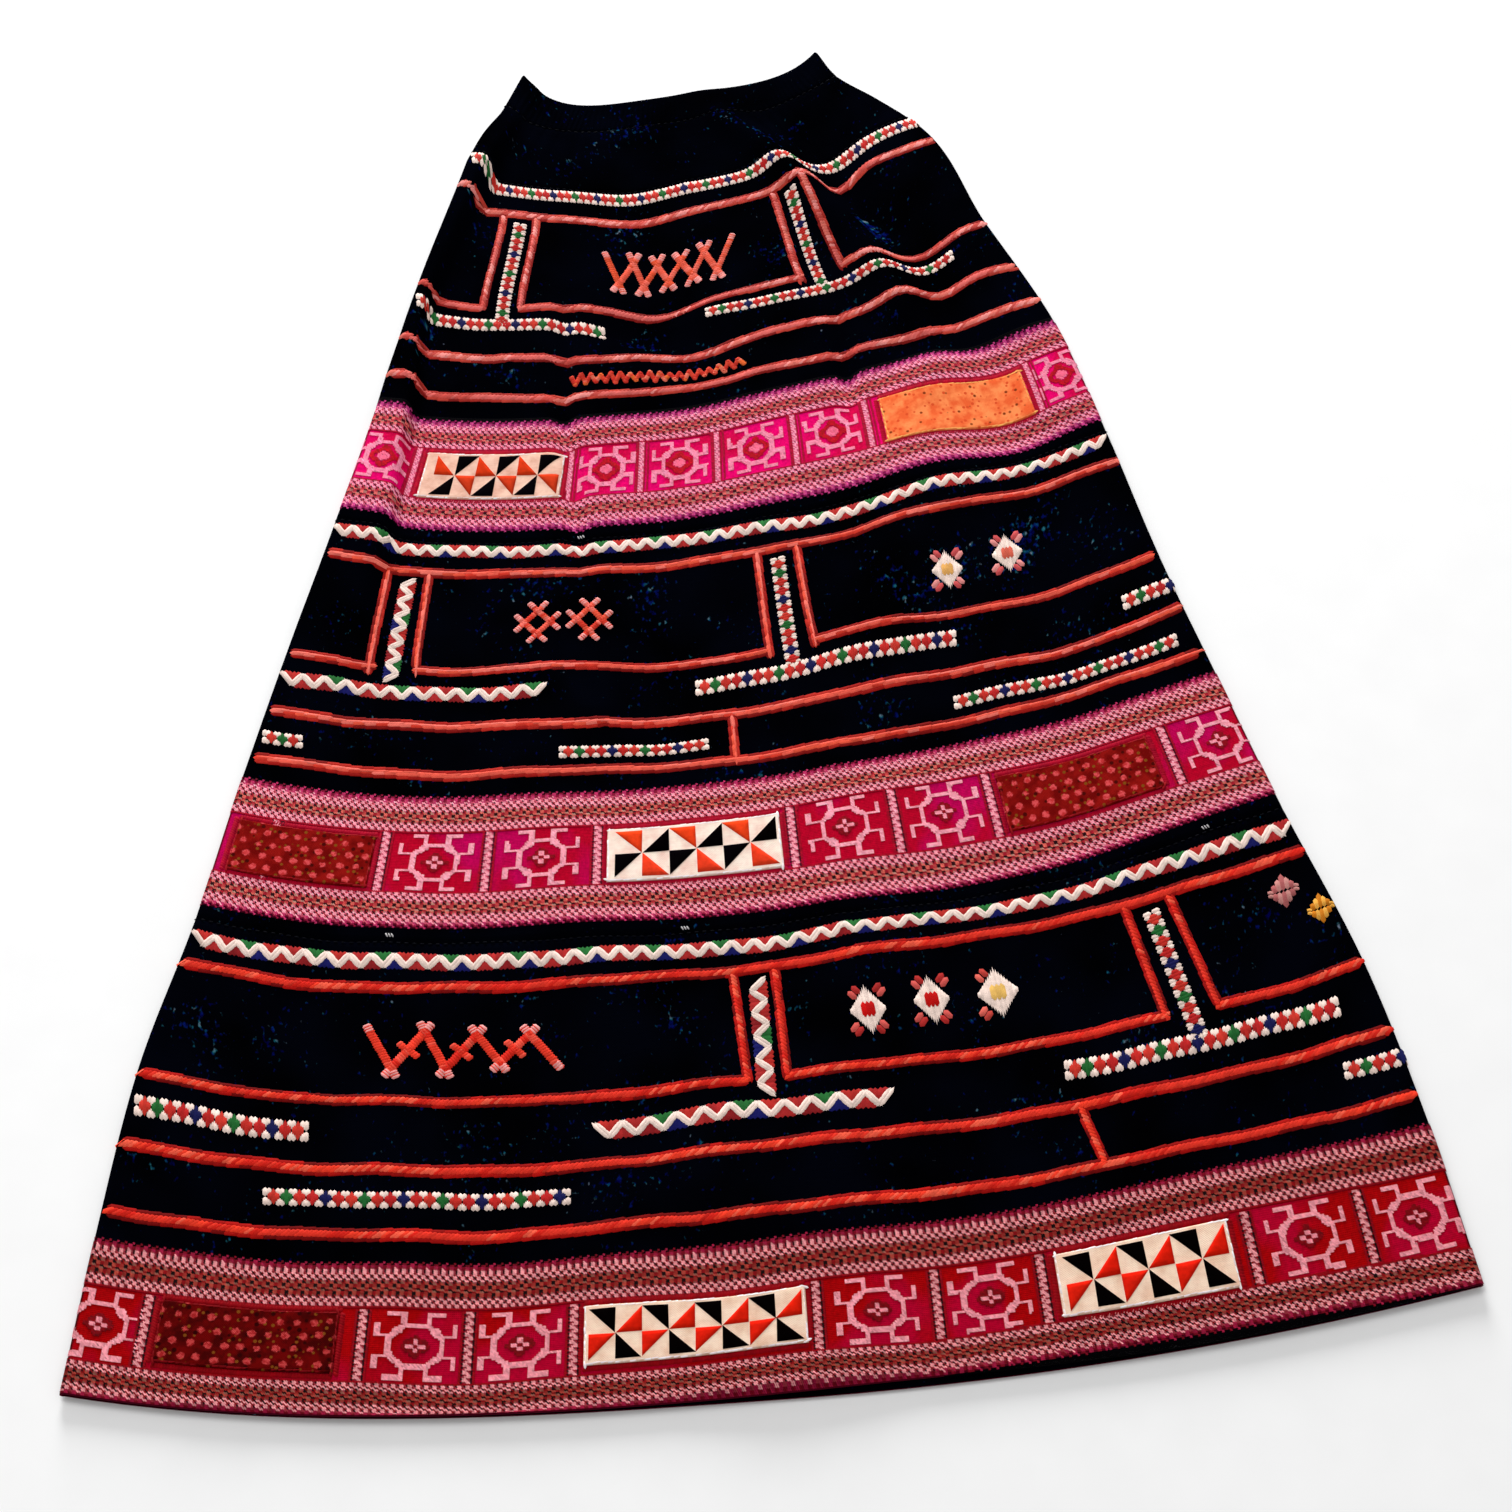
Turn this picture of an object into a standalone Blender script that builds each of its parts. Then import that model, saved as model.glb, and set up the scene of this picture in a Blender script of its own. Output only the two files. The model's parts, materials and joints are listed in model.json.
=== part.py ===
"""Hmong skirt laid flat: a gathered waistband, a plain yoke and three embroidered tiers.

Each of the five is one tube of cloth pressed flat, so that its front lies on its back. The embroidered bands stand
proud of the ground cloth, and appliqued patches lie on the front of the bands. Units are metres, +Z is up, +Y points
to the waist, the underside rests on Z = 0 and the origin is the middle of the footprint.
"""

import math
from collections import namedtuple

import bmesh
import bpy
import numpy as np

MM = 0.001
WELD = 1e-7

# Driving sizes, in millimetres
WALL = 1.2
WAISTBAND_WALL = 1.8
BAND_RAISE = 0.6
SEAM_GAP = 0.3
LAYER_GAP = 0.6
SIDE_ROLL_HEIGHT = 4.2
SIDE_ROLL_DEPTH = 2.2
ROLL_DEPTH_SHARE = 0.28
BAND_SLOPE = 1.5
SEAM_MARGIN = 9.0
PATCH_WALL = 1.0
PATCH_HEIGHT = 32.0

# Near its side edges the front comes down onto the back, and its gathers fade: powers of across
EDGE_POWER = 12
GATHER_EDGE_POWER = 16

# The front never sinks into the back: the lift bends to zero instead, the more sharply the larger this is
FLOOR_SHARPNESS = 2.0

# Counts
EVEN_COLUMNS = 43
PLEAT_COLUMNS = (-0.98, -0.935, -0.895, -0.85)
BACK_COLUMNS = 8
ROLL_STEPS = 4
OUTLINE_SAMPLES = 400
GATHERS = 26
COLUMNS_PER_GATHER = 4
GATHER_HEIGHT = 1.5
YOKE_WAVES = 9
YOKE_WAVE_HEIGHT = 1.3

# The outline. down is the distance from the waist along the middle, left and right are the two edges, tilt leans the
# row, and the two rises lift its ends, each by a power that says how near its end the lift begins.
Section = namedtuple("Section", "name down left right tilt rise_left rise_right power_left power_right")
SECTIONS = [
    Section("waist", 0, -103, 91, 12, 34, 21, 5.0, 5.0),
    Section("waistband", 26, -115, 102, 12, 31, 25, 4.5, 4.0),
    Section("yoke", 54, -130, 126, 13, 28, 30, 3.7, 3.0),
    Section("tier 1", 80, -140, 148, 14, 24, 33, 3.2, 2.3),
    Section("box 1", 174, -172, 184, 21, 31, 30, 3.0, 2.0),
    Section("band 1", 255, -196, 216, 27, 30, 23, 3.0, 2.0),
    Section("tier 2", 348, -221, 237, 25, 34, 28, 3.0, 2.0),
    Section("box 2", 440, -248, 255, 17, 32, 36, 3.0, 2.0),
    Section("band 2", 523, -271, 275, 18, 36, 33, 3.0, 2.0),
    Section("tier 3", 617, -294, 298, 15, 38, 37, 3.0, 2.0),
    Section("box 3", 711, -321, 325, 9, 37, 40, 3.0, 2.0),
    Section("band 3", 799, -338, 341, 8, 33, 32, 3.0, 2.0),
    Section("hem", 882, -351, 351, 2, 28, 32, 3.0, 2.0),
]

# How far the front stands off the back under its loose folds, along the middle
LOFT = {"down": (0, 40, 82, 200, 348, 617, 882), "height": (1.5, 5.0, 7.0, 6.0, 4.0, 2.5, 1.5)}

# The folds of the front, each a line of stations. across runs from -1 at the left edge to 1 at the right edge,
# width is the fold's half width, height lifts the cloth, and slip shifts it towards the waist.
Station = namedtuple("Station", "down across width height slip")
EDGE_PLEAT = [
    Station(0, -0.90, 6, 3, 0),
    Station(32, -0.91, 6, 6, 0.5),
    Station(60, -0.915, 5, 11, 7),
    Station(82, -0.924, 5, 15, 13),
    Station(98, -0.94, 5, 14, 12),
    Station(173, -0.962, 5, 10, 7),
    Station(211, -0.953, 5, 10, 6),
    Station(239, -0.918, 5, 10, 7),
    Station(260, -0.912, 6, 9, 4),
    Station(345, -0.87, 8, 7, 4),
    Station(437, -0.86, 10, 2, 1),
    Station(500, -0.86, 10, 0, 0),
]
FOLDS = {
    "diagonal ridge": [
        Station(0, 0.20, 14, 1.5, 0),
        Station(40, 0.30, 13, 6, 1),
        Station(84, 0.38, 13, 9, 5),
        Station(100, 0.41, 13, 9, 5),
        Station(174, 0.58, 15, 7, 2),
        Station(211, 0.61, 16, 6, 3),
        Station(245, 0.66, 14, 4, 1),
        Station(300, 0.56, 30, 2, 1),
        Station(356, 0.50, 36, 4, 3),
        Station(437, 0.33, 36, 4, 3),
        Station(520, 0.24, 36, 2, 1),
        Station(642, 0.20, 36, 3, 2),
        Station(760, 0.10, 45, 2, 1),
        Station(880, 0.05, 50, 2, 1),
    ],
    "right valley": [
        Station(20, 0.55, 12, -1, 0),
        Station(84, 0.62, 20, -6, -8),
        Station(100, 0.58, 13, -6, -10),
        Station(174, 0.76, 22, -5, -8),
        Station(211, 0.75, 16, -4, -4),
        Station(245, 0.68, 26, -3, -5),
        Station(265, 0.80, 30, -2, -5),
        Station(335, 0.80, 30, -2, -6),
        Station(356, 0.80, 30, -2, -2),
        Station(475, 0.72, 36, -1.5, -2),
        Station(642, 0.55, 40, -1, -1),
        Station(760, 0.50, 40, 0, 0),
    ],
    "middle valley": [
        Station(40, -0.25, 30, -1, 0),
        Station(84, -0.28, 40, -3, -6),
        Station(174, -0.16, 30, -4, -10),
        Station(188, -0.26, 30, -4, -10),
        Station(211, -0.06, 30, -3, -9),
        Station(250, -0.10, 40, -2, -3),
        Station(348, -0.12, 40, -2, -2),
        Station(455, -0.12, 40, -2, -3),
        Station(520, -0.10, 40, 0, 0),
    ],
    "left swell": [
        Station(110, -0.56, 20, 0, 0),
        Station(174, -0.52, 24, 2, 3),
        Station(230, -0.50, 30, 0, 0),
        Station(340, -0.36, 30, 0, 0),
        Station(437, -0.42, 30, 2, 2),
        Station(520, -0.42, 36, 2, 1),
        Station(625, -0.28, 40, 2, 1),
        Station(720, -0.10, 40, 2, 1),
        Station(800, -0.02, 45, 2, 1),
        Station(880, -0.02, 45, 2, 1),
    ],
    "left tuck": [
        Station(130, -0.52, 6, 0, 0),
        Station(174, -0.50, 6, -2, -1),
        Station(254, -0.47, 6, -3, -2),
        Station(345, -0.39, 7, -2, -2),
        Station(400, -0.36, 8, 0, 0),
    ],
    "right tuck": [
        Station(190, 0.41, 6, 0, 0),
        Station(212, 0.40, 6, -2, -1),
        Station(262, 0.37, 6, -3, -3),
        Station(310, 0.35, 7, 0, 0),
    ],
    "hem flute left": [
        Station(640, -0.50, 40, 0, 0),
        Station(760, -0.38, 40, -1, -2),
        Station(880, -0.45, 40, -1, -2),
    ],
    "hem flute far left": [
        Station(590, -0.78, 34, 0, 0),
        Station(700, -0.76, 34, -1, -2),
        Station(800, -0.72, 34, -1, -1),
        Station(880, -0.78, 34, 1, 0),
    ],
}

# The pieces that are sewn in rings, from the waist down. band_top and band_bottom bound the embroidered band, and
# the patches lie along patch_middle.
Ring = namedtuple("Ring", "name top bottom band_top patch_middle band_bottom rows")
RINGS = [
    Ring("waistband", 0, 26, None, None, None, 2),
    Ring("yoke", 26, 76, None, None, None, 4),
    Ring("tier_1", 76, 348, 255, 299, 340, 5),
    Ring("tier_2", 348, 617, 523, 567, 608, 5),
    Ring("tier_3", 617, 882, 799, 841, 879, 5),
]

# The appliqued patches: the ring that each lies on and its two ends across the front
Patch = namedtuple("Patch", "name ring left right")
PATCHES = [
    Patch("patch_pinwheel_1", "tier_1", -0.838, -0.455),
    Patch("patch_dotted_1", "tier_1", 0.44, 0.854),
    Patch("patch_dotted_2_left", "tier_2", -0.983, -0.716),
    Patch("patch_pinwheel_2", "tier_2", -0.264, 0.073),
    Patch("patch_dotted_2_right", "tier_2", 0.507, 0.818),
    Patch("patch_dotted_3", "tier_3", -0.889, -0.633),
    Patch("patch_pinwheel_3", "tier_3", -0.283, 0.037),
    Patch("patch_pinwheel_3_right", "tier_3", 0.406, 0.666),
]

Finish = namedtuple("Finish", "color roughness")
FINISHES = {
    "indigo_cloth": Finish((0.012, 0.013, 0.022, 1), 0.85),
    "embroidered_cloth": Finish((0.20, 0.012, 0.045, 1), 0.8),
    "pinwheel_cloth": Finish((0.78, 0.62, 0.50, 1), 0.8),
    "dotted_cloth": Finish((0.35, 0.06, 0.03, 1), 0.8),
}


def clear_scene():
    for obj in list(bpy.data.objects):
        bpy.data.objects.remove(obj)


def make_material(name):
    finish = FINISHES[name]
    material = bpy.data.materials.new(name)
    material.use_nodes = True
    shader = material.node_tree.nodes["Principled BSDF"]
    shader.inputs["Base Color"].default_value = finish.color
    shader.inputs["Roughness"].default_value = finish.roughness
    shader.inputs["Metallic"].default_value = 0.0
    return material


def smooth(at, stations, values):
    """The smooth curve through the values at the stations, flat beyond its ends."""
    stations = np.asarray(stations, float)
    values = np.asarray(values, float)
    at = np.clip(at, stations[0], stations[-1])
    slopes = np.gradient(values, stations)
    i = np.clip(np.searchsorted(stations, at) - 1, 0, len(stations) - 2)
    step = stations[i + 1] - stations[i]
    t = (at - stations[i]) / step
    rising = t * t * (3 - 2 * t)
    start_slope = t * (1 - t) ** 2 * step * slopes[i]
    end_slope = t * t * (t - 1) * step * slopes[i + 1]
    return values[i] * (1 - rising) + values[i + 1] * rising + start_slope + end_slope


def section_value(column, down):
    return smooth(down, [s.down for s in SECTIONS], [getattr(s, column) for s in SECTIONS])


def station_values(fold, down):
    """The fold's place and size at this row, with no height past its two ends."""
    downs = [s.down for s in fold]
    values = [np.interp(down, downs, [getattr(s, column) for s in fold]) for column in Station._fields[1:]]
    across, width, height, slip = values
    within = (down >= downs[0]) & (down <= downs[-1])
    return across, width, height * within, slip * within


def half_width(down):
    return (section_value("right", down) - section_value("left", down)) / 2


def fold_shape(across, down):
    """How far the folds lift the front, and how far they shift it towards the waist."""
    lift = smooth(down, LOFT["down"], LOFT["height"]) * (1 - np.abs(across) ** EDGE_POWER)
    slip = 0.0
    for fold in FOLDS.values():
        middle, width, height, shift = station_values(fold, down)
        profile = np.exp(-(((across - middle) * half_width(down) / width) ** 2))
        lift = lift + height * profile
        slip = slip + shift * profile
    middle, width, height, shift = station_values(EDGE_PLEAT, down)
    profile = (1 - np.tanh((across - middle) * half_width(down) / width)) / 2
    lift = np.logaddexp(0, lift * FLOOR_SHARPNESS) / FLOOR_SHARPNESS + height * profile
    return lift, slip + shift * profile


def plan(across, down):
    """The point of the flat outline at this place, in millimetres from the middle of the skirt."""
    left = section_value("left", down)
    right = section_value("right", down)
    x = (left + right) / 2 + across * half_width(down)
    left_rise = section_value("rise_left", down) * np.maximum(-across, 0) ** section_value("power_left", down)
    right_rise = section_value("rise_right", down) * np.maximum(across, 0) ** section_value("power_right", down)
    return x, left_rise + right_rise + section_value("tilt", down) * across - down


def footprint_middle():
    """The middle of the outline's bounding box."""
    down = np.linspace(0, SECTIONS[-1].down, OUTLINE_SAMPLES)
    sides = [plan(np.full_like(down, side), down) for side in (-1.0, 1.0)]
    across = np.linspace(-1, 1, OUTLINE_SAMPLES)
    ends = [plan(across, np.full_like(across, row)) for row in (SECTIONS[0].down, SECTIONS[-1].down)]
    xs = np.concatenate([x for x, _ in sides + ends])
    ys = np.concatenate([y for _, y in sides + ends])
    return np.array([(xs.max() + xs.min()) / 2, (ys.max() + ys.min()) / 2, 0])


def front_columns(ring):
    """The places of the front's columns, closer together at the edge pleat, with one at each end of each patch."""
    columns = np.sort(np.concatenate([np.linspace(-1, 1, EVEN_COLUMNS), PLEAT_COLUMNS]))
    for patch in PATCHES:
        if patch.ring == ring.name:
            for end in (patch.left, patch.right):
                columns[np.argmin(np.abs(columns - end))] = end
    return columns


def gather_columns():
    return np.linspace(-1, 1, GATHERS * COLUMNS_PER_GATHER + 1)


def ring_rows(ring, inside):
    """The places of the ring's rows. Those of the outer side have a pair at each edge of the band and one at each edge
    of its patches, and those of the plain inside don't."""
    top = ring.top + (SEAM_GAP / 2 if ring.top else 0)
    bottom = ring.bottom - (SEAM_GAP / 2 if ring.bottom < SECTIONS[-1].down else 0)
    if ring.band_top is None:
        return np.linspace(top, bottom, ring.rows + 1)
    ground = np.concatenate([[top], np.linspace(top + SEAM_MARGIN, ring.band_top, ring.rows)])
    if inside:
        return np.concatenate([ground, [ring.patch_middle, ring.band_bottom, bottom]])
    band = [
        ring.band_top + BAND_SLOPE,
        ring.patch_middle - PATCH_HEIGHT / 2,
        ring.patch_middle + PATCH_HEIGHT / 2,
        ring.band_bottom - BAND_SLOPE,
        ring.band_bottom,
        bottom,
    ]
    return np.concatenate([ground, band])


def ring_wall(ring):
    return WAISTBAND_WALL if ring.name == "waistband" else WALL


def raised(ring, across, down):
    """How far the front's outer side stands out over the plain inside: the elastic's gathers on the waistband, and
    the embroidery on the bands."""
    if ring.name == "waistband":
        fade = 1 - np.abs(across) ** GATHER_EDGE_POWER
        return GATHER_HEIGHT * (1 - np.cos(math.pi * GATHERS * (across + 1))) / 2 * fade
    if ring.band_top is None:
        return np.zeros_like(across)
    edges = [ring.band_top, ring.band_top + BAND_SLOPE, ring.band_bottom - BAND_SLOPE, ring.band_bottom]
    return np.full_like(across, BAND_RAISE * np.interp(down, edges, [0, 1, 1, 0]))


def front_point(ring, across, down):
    """A point of the front's cloth, before anything is raised on it."""
    lift, slip = fold_shape(across, down)
    x, y = plan(across, down)
    to_edge = np.abs(across) ** EDGE_POWER
    if ring.name == "yoke":
        fade = (1 - (down - ring.top) / (ring.bottom - ring.top)) * (1 - to_edge)
        lift = lift + YOKE_WAVE_HEIGHT * (1 - np.cos(math.pi * YOKE_WAVES * (across + 1))) / 2 * fade
    flat = 2 * ring_wall(ring) + LAYER_GAP
    return x, y + slip, flat + (SIDE_ROLL_HEIGHT - 2 * WALL - LAYER_GAP) * to_edge + lift


def ring_section(ring, columns, down):
    """The points of the flattened tube's outer side at this row: along the front, round the right edge, along the
    back and round the left edge."""
    x, y, z = front_point(ring, columns, down)
    depths = [max(SIDE_ROLL_DEPTH, ROLL_DEPTH_SHARE * z[end]) for end in (0, -1)]
    left, right = x[0] + depths[0], x[-1] - depths[1]
    middle = (x[0] + x[-1]) / 2
    x = np.where(x < middle, np.interp(x, [x[0], middle], [left, middle]), x)
    x = np.where(x > middle, np.interp(x, [middle, x[-1]], [middle, right]), x)
    front = np.stack([x, y, z], axis=1)

    back_across = np.linspace(1, -1, BACK_COLUMNS + 1)
    back_x, back_y = plan(back_across, np.full_like(back_across, down))
    back_x = np.interp(back_x, [back_x[-1], back_x[0]], [left, right])
    back = np.stack([back_x, back_y, np.zeros_like(back_x)], axis=1)

    def roll(start, end, depth, side):
        angles = np.linspace(0, math.pi, ROLL_STEPS + 2)[1:-1]
        share = (1 - np.cos(angles)) / 2
        points = start + (end - start) * share[:, None]
        points[:, 0] += side * depth * np.sin(angles)
        return points

    right_roll = roll(front[-1], back[0], depths[1], 1)
    left_roll = roll(back[-1], front[0], depths[0], -1)
    return np.concatenate([front, right_roll, back, left_roll])


def moved_out(section, distance):
    """The closed section moved out by a distance for each point, square to its sides and within its own plane."""
    flat = section[:, [0, 2]]
    sides = np.roll(flat, -1, axis=0) - flat
    normals = np.stack([-sides[:, 1], sides[:, 0]], axis=1) / np.linalg.norm(sides, axis=1, keepdims=True)
    corners = normals + np.roll(normals, 1, axis=0)
    corners /= np.linalg.norm(corners, axis=1, keepdims=True)
    reach = distance / np.sum(corners * normals, axis=1)
    moved = section.copy()
    moved[:, [0, 2]] += corners * reach[:, None]
    return moved


def place(obj, collection, material):
    collection.objects.link(obj)
    obj.data.materials.append(material)
    obj.data.shade_smooth()


def grid_mesh(name, points):
    """A grid whose rows and columns take the places given, joined where places meet."""
    rows, columns = points.shape[:2]
    mesh = bpy.data.meshes.new(name)
    bm = bmesh.new()
    bmesh.ops.create_grid(bm, x_segments=columns - 1, y_segments=rows - 1, size=1)
    for vert in bm.verts:
        column = round((vert.co.x + 1) / 2 * (columns - 1))
        row = round((1 - vert.co.y) / 2 * (rows - 1))
        vert.co = points[row, column]
    bmesh.ops.remove_doubles(bm, verts=bm.verts, dist=WELD)
    bm.to_mesh(mesh)
    bm.free()
    return mesh


def outer_points(ring, columns, middle):
    """The rows of the ring's outer side, with what is raised on the front."""
    rows = []
    for down in ring_rows(ring, inside=False):
        section = ring_section(ring, columns, down)
        distance = np.zeros(len(section))
        distance[: len(columns)] = raised(ring, columns, down)
        rows.append(moved_out(section, distance))
    return (np.array(rows) - middle) * MM


def inner_points(ring, columns, middle):
    """The rows of the ring's plain inside, a wall's thickness in."""
    rows = []
    for down in ring_rows(ring, inside=True):
        section = ring_section(ring, columns, down)
        rows.append(moved_out(section, np.full(len(section), -ring_wall(ring))))
    return (np.array(rows) - middle) * MM


def add_ring(ring, outer, inner, collection, material):
    """The tube of one ring: sections lofted down its outer side, back up its inside, and round to the first one."""
    loops = np.concatenate([outer, inner[::-1], outer[:1]])
    closed = np.concatenate([loops, loops[:, :1]], axis=1)
    obj = bpy.data.objects.new(ring.name, grid_mesh(ring.name, closed))
    place(obj, collection, material)


def add_patch(patch, ring, columns, points, collection, material):
    """A patch made from the points of the ring that it lies on, moved out."""
    first = int(np.argmin(np.abs(columns - patch.left)))
    last = int(np.argmin(np.abs(columns - patch.right)))
    top = int(np.argmin(np.abs(ring_rows(ring, inside=False) - (ring.patch_middle - PATCH_HEIGHT / 2))))
    block = points[top : top + 2, first : last + 1]
    along = np.gradient(block, axis=1)
    downwards = np.gradient(block, axis=0)
    normals = np.cross(downwards, along)
    normals /= np.linalg.norm(normals, axis=2, keepdims=True)
    outer = block + normals * (SEAM_GAP + PATCH_WALL) * MM
    obj = bpy.data.objects.new(patch.name, grid_mesh(patch.name, outer))
    place(obj, collection, material)
    solidify = obj.modifiers.new("wall", "SOLIDIFY")
    solidify.thickness = PATCH_WALL * MM
    solidify.offset = -1


def main():
    clear_scene()
    collection = bpy.data.collections.new("hmong_skirt")
    bpy.context.scene.collection.children.link(collection)
    materials = {name: make_material(name) for name in FINISHES}
    middle = footprint_middle()
    for ring in RINGS:
        columns = gather_columns() if ring.name == "waistband" else front_columns(ring)
        outer = outer_points(ring, columns, middle)
        inner = inner_points(ring, columns, middle)
        cloth = "embroidered_cloth" if ring.band_top is not None else "indigo_cloth"
        add_ring(ring, outer, inner, collection, materials[cloth])
        for patch in PATCHES:
            if patch.ring == ring.name:
                kind = "pinwheel_cloth" if "pinwheel" in patch.name else "dotted_cloth"
                add_patch(patch, ring, columns, outer, collection, materials[kind])


main()
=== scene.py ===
"""Looks of a Hmong skirt laid flat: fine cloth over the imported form, cross-stitched bands, satin and cord
stitches, sewn-on patches, and the light and camera of the photograph.

A place on the front is given by across, from -1 at the left edge to 1 at the right edge, and down, in
millimetres from the waist along the middle. Sizes are in millimetres until a mesh is made.
"""

import json
import math
from collections import namedtuple

import bpy
import numpy as np
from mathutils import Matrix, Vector

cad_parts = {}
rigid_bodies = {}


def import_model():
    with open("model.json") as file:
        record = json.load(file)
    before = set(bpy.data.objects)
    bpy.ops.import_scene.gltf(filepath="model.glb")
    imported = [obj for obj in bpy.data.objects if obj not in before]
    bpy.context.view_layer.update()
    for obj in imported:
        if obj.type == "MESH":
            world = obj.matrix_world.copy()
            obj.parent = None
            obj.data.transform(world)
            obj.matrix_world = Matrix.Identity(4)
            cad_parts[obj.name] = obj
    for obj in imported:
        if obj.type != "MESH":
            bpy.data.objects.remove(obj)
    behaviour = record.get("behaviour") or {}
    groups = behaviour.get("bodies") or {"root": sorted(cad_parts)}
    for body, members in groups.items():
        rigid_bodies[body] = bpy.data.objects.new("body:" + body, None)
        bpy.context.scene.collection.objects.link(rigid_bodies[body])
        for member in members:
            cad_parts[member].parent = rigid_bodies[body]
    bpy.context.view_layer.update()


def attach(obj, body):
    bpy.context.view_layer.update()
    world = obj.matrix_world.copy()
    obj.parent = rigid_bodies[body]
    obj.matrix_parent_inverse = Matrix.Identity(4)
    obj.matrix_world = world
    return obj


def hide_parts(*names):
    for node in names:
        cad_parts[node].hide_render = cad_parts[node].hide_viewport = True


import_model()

MM = 0.001
SEED = 11

# The cloth. The front rises to a roll at each side, which is deeper where it is higher.
WALL = 1.1
LAYER_GAP = 0.6
SIDE_ROLL_HEIGHT = 4.2
SIDE_ROLL_DEPTH = 2.2
ROLL_DEPTH_SHARE = 0.28
BACK_HEIGHT = 0.6
MOST_SINK = 0.4
EDGE_POWER = 12
GATHER_EDGE_POWER = 16
FLOOR_SHARPNESS = 2.0
OUTLINE_SAMPLES = 400
SEAM_GAP = 0.3
SEAM_DIP = 0.5
SEAM_DIP_WIDTH = 1.6
PLEAT_NARROWING = 0.45

# How finely the cloth is divided
FIELD_COLUMNS = 1401
FIELD_ROWS = 883
ROW_STEP = 3.6
FRONT_COLUMNS = 200
GATHERED_COLUMNS = 520
GATHERED_ROW_STEP = 2.2
BACK_COLUMNS = 44
PLEAT_END = -0.84
PLEAT_COLUMNS = 44
RIM_START = 0.985
RIM_COLUMNS = 5
ROLL_STEPS = 5
INNER_ROW_STEP = 5

# The elastic's gathers and the folds below it that they fade into, and the rows over which these end
GATHERS = 62
GATHER_HEIGHT = 0.9
GATHER_END = 27
GATHER_FADE = 2.2
YOKE_WAVES = 25
YOKE_WAVE_HEIGHT = 1.2
YOKE_WAVE_END = 96
YOKE_WAVE_FADE = 70
WAIST_CALM = 9


def rows_of(kind, rows):
    """A table whose rows are of one named kind."""
    return [kind(*row) for row in rows]


# The outline. down is the distance from the waist along the middle, left and right are the two edges, tilt
# leans the row, and the two rises lift its ends, each by a power that says how near its end the lift begins.
Section = namedtuple("Section", "name down left right tilt rise_left rise_right power_left power_right")
SECTIONS = rows_of(Section, [
    ("waist", 0, -103, 91, 12, 34, 21, 5.0, 5.0),
    ("waistband", 26, -115, 102, 12, 31, 25, 4.5, 4.0),
    ("yoke", 54, -130, 126, 13, 28, 30, 3.7, 3.0),
    ("tier 1", 80, -140, 148, 14, 24, 33, 3.2, 2.3),
    ("box 1", 174, -172, 184, 21, 31, 30, 3.0, 2.0),
    ("band 1", 255, -196, 216, 27, 30, 23, 3.0, 2.0),
    ("tier 2", 348, -221, 237, 25, 34, 28, 3.0, 2.0),
    ("box 2", 440, -248, 255, 17, 32, 36, 3.0, 2.0),
    ("band 2", 523, -271, 275, 18, 36, 33, 3.0, 2.0),
    ("tier 3", 617, -294, 298, 15, 38, 37, 3.0, 2.0),
    ("box 3", 711, -321, 325, 9, 37, 40, 3.0, 2.0),
    ("band 3", 799, -338, 341, 8, 33, 32, 3.0, 2.0),
    ("hem", 882, -351, 351, 2, 28, 32, 3.0, 2.0),
])

# How far the front stands off the back under its loose folds, along the middle
LOFT = {"down": (0, 40, 82, 200, 348, 617, 882), "height": (1.5, 5.0, 7.0, 6.0, 4.0, 2.5, 1.5)}

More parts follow.
